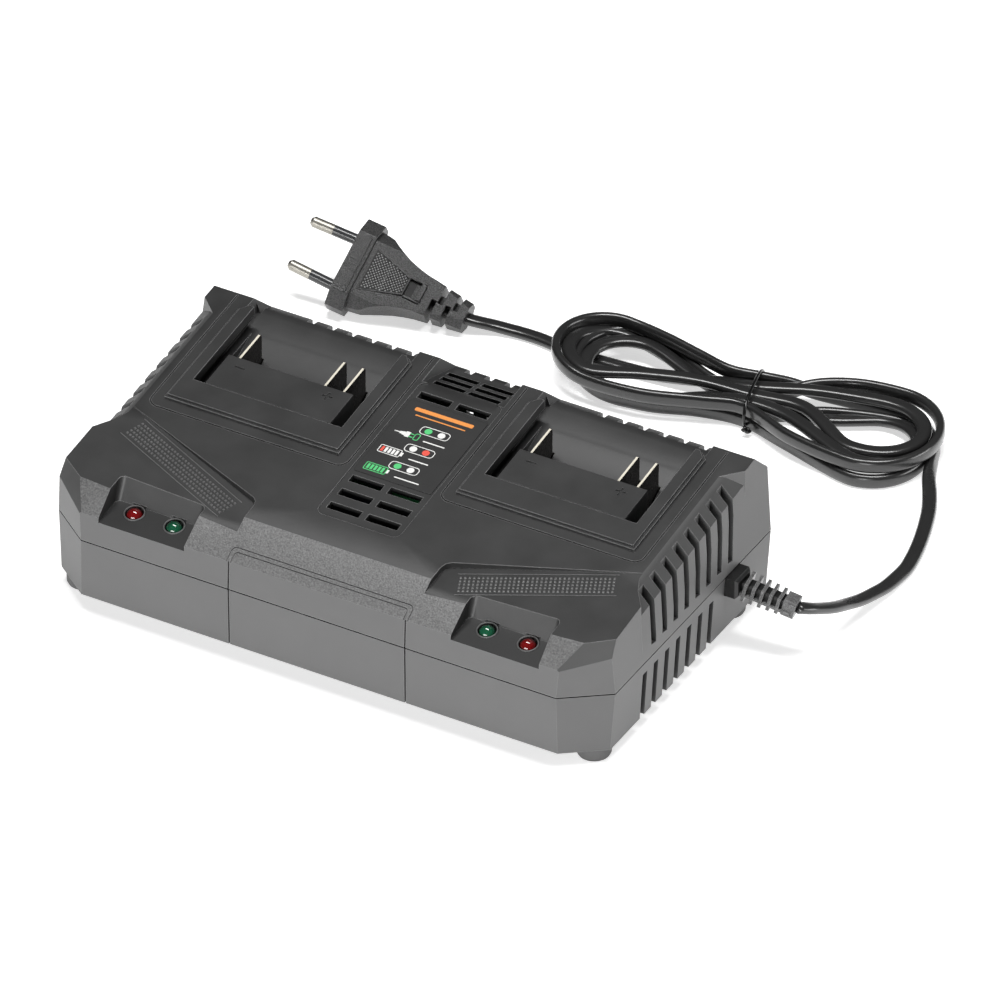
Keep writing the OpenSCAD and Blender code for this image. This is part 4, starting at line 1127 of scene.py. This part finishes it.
@dataclass
class WireTie:
    """The coated wire around the bundle's waist, with its twisted ends.

    Attributes:
        wire: Its thickness, in mm.
        middle: Middle of its loop.
        reach: Half depth and half height of the loop.
        lean: How far its front stands to the right.
        end_points: Number of points of a twisted end.
        end_radius: Distance of its wire from the twist's middle.
        end_from: Where the ends begin, from the loop's front.
        end_run: How far they run.
    """

    wire: float = 1.2
    middle: Point = (51, 154.6, 6.7)
    reach: Row = (13.2, 6.0)
    lean: float = 3.2
    end_points: int = 22
    end_radius: float = 0.6
    end_from: Point = (0.2, -0.6, -3.6)
    end_run: Point = (2.2, 0.6, -0.9)

    def loop(self) -> list[Vector]:
        """Give the loop's points in metres."""
        points = []
        for k in range(64):
            angle = 2 * math.pi * k / 64
            y = self.reach[0] * math.copysign(abs(math.cos(angle)) ** 0.8, math.cos(angle))
            z = self.reach[1] * math.copysign(abs(math.sin(angle)) ** 0.8, math.sin(angle))
            points.append(Vector((self.middle[0] - self.lean * y / self.reach[0], self.middle[1] + y,
                                  self.middle[2] + z)) * MM)
        return points

    def end(self, phase: float) -> list[Vector]:
        """Give one of the two twisted ends, which lie in front of the bundle."""
        points = []
        root = Vector((self.middle[0] + self.lean, self.middle[1] - self.reach[0], self.middle[2]))
        for k in range(self.end_points):
            t = k / (self.end_points - 1)
            turn = phase + 2.0 * math.pi * t
            coil = Vector((0, math.cos(turn), math.sin(turn))) * self.end_radius
            points.append((root + Vector(self.end_from) + Vector(self.end_run) * t + coil) * MM)
        return points

    def build(self) -> bpy.types.Object:
        """Make the tie from one closed and two open curves."""
        curve = bpy.data.curves.new("wire_tie", "CURVE")
        curve.dimensions = "3D"
        curve.bevel_depth = self.wire / 2 * MM
        curve.bevel_resolution = 4
        curve.use_fill_caps = True
        for points, closed in ((self.loop(), True), (self.end(0.0), False), (self.end(math.pi), False)):
            spline = curve.splines.new("POLY")
            spline.points.add(len(points) - 1)
            for target, point in zip(spline.points, points):
                target.co = (*point, 1.0)
            spline.use_cyclic_u = closed
            spline.use_smooth = True
        obj = placed("tie_curve", curve)
        mesh = bpy.data.meshes.new_from_object(obj.evaluated_get(bpy.context.evaluated_depsgraph_get()))
        bpy.data.objects.remove(obj)
        mesh.name = "wire_tie"
        tie = piece("wire_tie", mesh, "tie_plastic", PVC_TIE)
        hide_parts("cord_tie")
        return tie


@dataclass
class StrainRelief:
    """The moulded block in the case's wall with its ribbed tail around the lead.

    Attributes:
        root: Middle of the tail's root in the wall, in mm.
        tip: Middle of its end, where the lead comes out.
        block: Half width and half height of the block, and how far it stands out of the wall.
        inside: How far the block goes into the case.
        ribs: Number of ribs.
        first: Place of the first rib along the tail, and the distance between ribs.
        rib: Half width, half height and thickness of a rib.
        taper: How far each rib's half width and half height fall short of the last one's.
        core: Half width of the bar that the ribs stand on, its underside and its top.
        web: The same of the thin web between the ribs.
        collar: The same of the collar at the tip.
        collar_u: How far the collar begins before the tip and ends behind it.
        collar_bevel: Width of its beveled edges.
    """

    root: Point = (108.0, 33.25, 23.95)
    tip: Point = (131.0, 36.5, 18.6)
    block: Point = (5.05, 3.65, 4.5)
    inside: float = 4.0
    ribs: int = 5
    first: Row = (5.2, 3.05)
    rib: Point = (4.6, 3.7, 1.15)
    taper: Row = (0.16, 0.12)
    core: Point = (2.3, -1.5, 2.1)
    web: Point = (4.1, -1.9, -0.5)
    collar: Point = (3.5, -3.3, 3.3)
    collar_u: Row = (4.3, 0.2)
    collar_bevel: float = 0.7

    def place(self, u: float, v: float, w: float) -> Vector:
        """Give the point along, across and over the tail, in metres."""
        root = Vector(self.root)
        along = (Vector(self.tip) - root).normalized()
        side = Vector((0, 0, 1)).cross(along).normalized()
        return (root + along * u + side * v + along.cross(side) * w) * MM

    def bar(self, solids: Solids, u: Row, v: float, w: Row, tint: int, bevel: float = 0.35) -> None:
        """Add a bar with beveled long edges.

        Args:
            solids: What it goes into.
            u: Its ends along the tail.
            v: Its half width.
            w: Its underside and its top.
            tint: Its finish.
            bevel: Width of its beveled edges.
        """
        b = bevel
        outline = [(-v + b, w[0]), (v - b, w[0]), (v, w[0] + b), (v, w[1] - b), (v - b, w[1]), (-v + b, w[1]),
                   (-v, w[1] - b), (-v, w[0] + b)]
        near, far = ([self.place(end, y, z) for y, z in outline] for end in u)
        solids.prism(near, far, tint)

    def wall_block(self, solids: Solids) -> None:
        """Add the block that sits in the wall, with its inner flange and its beveled outer end."""
        half, high, out = self.block
        x, y, z = self.root
        loops = []
        for reach, inset in ((-self.inside, 0.0), (out - 0.9, 0.0), (out, 0.8)):
            corners = ((-1, -1), (1, -1), (1, 1), (-1, 1))
            loops.append([Vector((x + reach, y + a * (half - inset), z + b * (high - inset))) * MM
                          for a, b in corners])
        solids.prism(loops[0], loops[1], 0)
        solids.prism(loops[1], loops[2], 0)

    def build(self) -> bpy.types.Object:
        """Make the strain relief, standing for its CAD solid."""
        solids = Solids()
        length = (Vector(self.tip) - Vector(self.root)).length
        self.wall_block(solids)
        self.bar(solids, (0.0, length - 1.0), self.core[0], self.core[1:], 0)
        # The web, ribs and collar take the lighter rib finish, painted light over the same PVC as the core.
        self.bar(solids, (3.6, length - 1.0), self.web[0], self.web[1:], 1)
        for k in range(self.ribs):
            start = self.first[0] + k * self.first[1]
            half, high = self.rib[0] - self.taper[0] * k, self.rib[1] - self.taper[1] * k
            self.bar(solids, (start, start + self.rib[2]), half, (-high, high), 1)
        span = (length - self.collar_u[0], length + self.collar_u[1])
        self.bar(solids, span, self.collar[0], self.collar[1:], 1, self.collar_bevel)
        mesh = solids.mesh("strain_relief_ribbed")
        relief = piece("strain_relief_ribbed", mesh, "gland_rubber", PVC_GLAND, PVC_RIB)
        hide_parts("strain_relief")
        return relief


# ---------- the plug ----------


@dataclass
class PlugDetails:
    """The raised details on the plug's near face: knurled pad, lips and step.

    Attributes:
        origin: The plug's own origin, in mm.
        dip: Its dip in degrees.
        yaw: Its turn about the vertical.
        roll: Its roll about its own axis.
        face: Height of the near face over the plug's middle.
        frame_line: Width of the line around the knurled pad.
    """

    origin: Point = (-107.5, 146.9, 14.5)
    dip: float = 11.2
    yaw: float = 3.6
    roll: float = 37.6
    face: float = 6.0
    frame_line: float = 0.45

    def place(self, u: float, v: float, w: float) -> Vector:
        """Turn a point of the plug's own frame into the part's frame, in metres."""
        angles = zip((self.yaw, self.dip, self.roll), "ZYX")
        about_z, about_y, about_x = (Matrix.Rotation(math.radians(angle), 3, axis) for angle, axis in angles)
        turn = about_z @ about_y @ about_x
        return (Vector(self.origin) + turn @ Vector((u, v, w))) * MM

    def slab(self, solids: Solids, outline: Sequence[Row], low: float, high: float,
             draft: float = 0.25) -> None:
        """Add a low raised shape.

        Args:
            solids: What it goes into.
            outline: Its outline in u and v.
            low: Height of its foot.
            high: Height of its top.
            draft: How far its top is smaller than its foot.
        """
        cu = sum(u for u, _ in outline) / len(outline)
        cv = sum(v for _, v in outline) / len(outline)
        shrunk = [(u + (cu - u) * draft / max(abs(cu - u), 0.8), v + (cv - v) * draft / max(abs(cv - v), 0.8))
                  for u, v in outline]
        solids.prism([self.place(u, v, low) for u, v in outline], [self.place(u, v, high) for u, v in shrunk])

    def skin(self, u: float) -> float:
        """Give the height of the near face at a place along the plug, in mm."""
        return self.face + 0.12 - 0.026 * (u - 9.3)

    def plate(self, solids: Solids, outline: Sequence[Row], sink: float, tint: int) -> None:
        """Lay a thin plate just over the near face, or sunk under it by sink."""
        low = [self.place(u, v, self.skin(u) - sink - 0.3) for u, v in outline]
        high = [self.place(u, v, self.skin(u) - sink + 0.05) for u, v in outline]
        solids.prism(low, high, tint)

    def pad(self, solids: Solids) -> None:
        """Add the knurled pad: small pyramids on a diagonal lattice in a tapering field."""
        pitch = 1.3
        half = 0.46
        # The plate under the knurls takes the painted shade; the knurls take the painted light grey of their
        # points.
        self.plate(solids, [(9.0, -7.9), (24.0, -3.3), (24.0, 3.3), (9.0, 7.9)], 0.0, 2)
        for i in range(-1, 24):
            for j in range(-14, 15):
                if (i + j) % 2:
                    continue
                u = 9.8 + i * pitch / 2
                v = j * pitch / 2
                limit = 7.4 - (u - 9.0) * 0.3
                if 9.4 <= u <= 23.6 and abs(v) <= limit:
                    base = [(u - half, v), (u, v - half), (u + half, v), (u, v + half)]
                    top = [(u + (a - u) * 0.5, v + (b - v) * 0.5) for a, b in base]
                    level = self.skin(u)
                    solids.prism([self.place(a, b, level - 0.1) for a, b in base],
                                 [self.place(a, b, level + 0.4) for a, b in top], 1)

    def build(self) -> bpy.types.Object:
        """Make the details as one piece."""
        solids = Solids()
        self.pad(solids)
        # The window's floor in painted shade, and the line around the pad.
        self.plate(solids, bar(25.0, -2.7, 28.6, 2.7), 0.8, 2)
        line = self.frame_line
        edges = [(8.6, 8.3), (24.4, 3.5), (24.4, -3.5), (8.6, -8.3)]
        inner = [(u + math.copysign(line, 16.0 - u), v - math.copysign(line, v)) for u, v in edges]
        rise = (self.place(0, 0, 1) - self.place(0, 0, 0)) * 0.3
        solids.band([self.place(u, v, self.face - 0.1) for u, v in edges],
                    [self.place(u, v, self.face - 0.1) for u, v in inner], rise)
        # The lip behind the window and the two along its sides.
        self.slab(solids, [(29.1, -3.6), (31.3, -3.2), (31.3, 3.2), (29.1, 3.6)], 5.0, 6.5)
        for side in (-1, 1):
            lip = [(24.5, side * 3.3), (31.0, side * 3.3), (31.0, side * 4.0), (24.5, side * 4.0)]
            self.slab(solids, lip, 5.0, 6.1, 0.1)
        # Two ridges behind the collar.
        for start, end, top in ((4.9, 5.6, 6.95), (6.4, 7.0, 6.9)):
            self.slab(solids, [(start, -11.2), (end, -11.2), (end, 11.2), (start, 11.2)], 6.4, top, 0.1)
        mesh = solids.mesh("plug_details")
        return piece("plug_details", mesh, "plug_plastic", PVC_PLUG, PVC_KNURL, PVC_SHADE)


# ---------- the studio ----------


class Light(Enum):
    """The studio's lamps: place, size, strength in watts and what they aim at, in metres."""

    TOP = ((0.0, 0.1, 1.4), (1.0, 0.3), 18.0, (0.0, 0.0, 0.0))
    FRONT = ((0.1, -1.4, 0.3), (1.2, 0.4), 15.0, (0.0, 0.0, 0.03))
    RIGHT = ((1.35, 0.5, 0.3), (0.8, 0.4), 6.0, (0.0, 0.0, 0.03))


@dataclass
class Studio:
    """Floor, backdrop light, lamps and camera.

    Attributes:
        floor: Half width of the floor, in metres.
        glow: White that the camera sees in the paper besides its own shading.
        room: Strength of the room's own light.
        camera_at: The camera's place.
        azimuth: Its angle around the object.
        elevation: Its angle over the floor.
        roll: Its roll.
        lens: Its focal length on a 36 mm sensor.
    """

    floor: float = 6.0
    glow: float = 0.6
    room: float = 0.05
    camera_at: Point = (1.58947, -2.7786, 2.28192)
    azimuth: float = 29.2
    elevation: float = 35.01
    roll: float = 0.3
    lens: float = 415.86

    def build_floor(self) -> None:
        """Make a white floor that keeps the object's shadow."""
        half = self.floor
        points = [(-half, -half, 0), (half, -half, 0), (half, half, 0), (-half, half, 0)]
        mesh = mesh_of("floor", points, [(0, 1, 2, 3)])
        floor = placed("floor", mesh)
        graph = Graph("floor paper")
        paper = graph.add("BsdfPrincipled", Base_Color=linear("#f4f4f4"), Roughness=0.9)
        path = graph.add("LightPath")
        seen = graph.add("Math", {"operation": "MAXIMUM"},
                         values=(path.outputs["Is Camera Ray"], path.outputs["Is Glossy Ray"])).outputs[0]
        share = graph.add("Math", {"operation": "MULTIPLY"}, values=(seen, self.glow))
        glow = graph.add("Emission", Color=(1.0, 1.0, 1.0, 1.0), Strength=share.outputs[0])
        both = graph.add("AddShader", values=(glow.outputs[0], paper.outputs[0]))
        graph.add("OutputMaterial", Surface=both.outputs[0])
        mesh.materials.append(graph.material)

    def build_room(self) -> None:
        """Make the room's light, white where the camera or a reflection sees it."""
        world = bpy.data.worlds.new("room")
        bpy.context.scene.world = world
        world.use_nodes = True
        tree = world.node_tree
        tree.nodes.clear()
        path = tree.nodes.new("ShaderNodeLightPath")
        mix = tree.nodes.new("ShaderNodeMixShader")
        out = tree.nodes.new("ShaderNodeOutputWorld")
        tree.links.new(path.outputs["Is Camera Ray"], mix.inputs[0])
        for socket, strength in ((mix.inputs[1], self.room), (mix.inputs[2], 1.0)):
            white = tree.nodes.new("ShaderNodeBackground")
            white.inputs["Color"].default_value = (1, 1, 1, 1)
            white.inputs["Strength"].default_value = strength
            tree.links.new(white.outputs[0], socket)
        tree.links.new(mix.outputs[0], out.inputs["Surface"])

    def build_lamps(self) -> None:
        """Make the soft lamps."""
        for lamp in Light:
            at, size, watts, aim = lamp.value
            data = bpy.data.lights.new("lamp_" + lamp.name.lower(), "AREA")
            data.shape = "RECTANGLE"
            data.size, data.size_y = size
            data.energy = watts
            obj = placed(data.name, data)
            obj.location = at
            obj.rotation_euler = (Vector(aim) - Vector(at)).to_track_quat("-Z", "Y").to_euler()

    def build_camera(self) -> None:
        """Make the camera, high in front of the case and to its right."""
        a, e, r = (math.radians(v) for v in (self.azimuth, self.elevation, self.roll))
        back = Vector((math.sin(a) * math.cos(e), -math.cos(a) * math.cos(e), math.sin(e)))
        right = Vector((math.cos(a), math.sin(a), 0))
        up = back.cross(right)
        side = math.cos(r) * right + math.sin(r) * up
        top = -math.sin(r) * right + math.cos(r) * up
        data = bpy.data.cameras.new("camera")
        data.lens = self.lens
        data.sensor_width = 36.0
        data.clip_end = 50.0
        camera = placed("camera", data)
        turn = Matrix((side, top, back)).transposed().to_4x4()
        camera.matrix_world = Matrix.Translation(self.camera_at) @ turn
        bpy.context.scene.camera = camera

    def build(self) -> None:
        """Make all of it."""
        self.build_floor()
        self.build_room()
        self.build_lamps()
        self.build_camera()
        bpy.context.scene.view_settings.view_transform = "Standard"


def main() -> None:
    """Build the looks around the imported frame, in order."""
    logging.basicConfig(level=logging.INFO)
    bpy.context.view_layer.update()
    Studio().build()
    Casing().dress(frame["nodes"])
    DotField().build(-1, "dot_field_left")
    DotField().build(1, "dot_field_right")
    LampCollars().build()
    LabelPrint().build()
    StrainRelief().build()
    PlugDetails().build()
    WireTie().build()
    MainsLead().build()
    LOG.info("built")


if __name__ == "__main__":
    main()
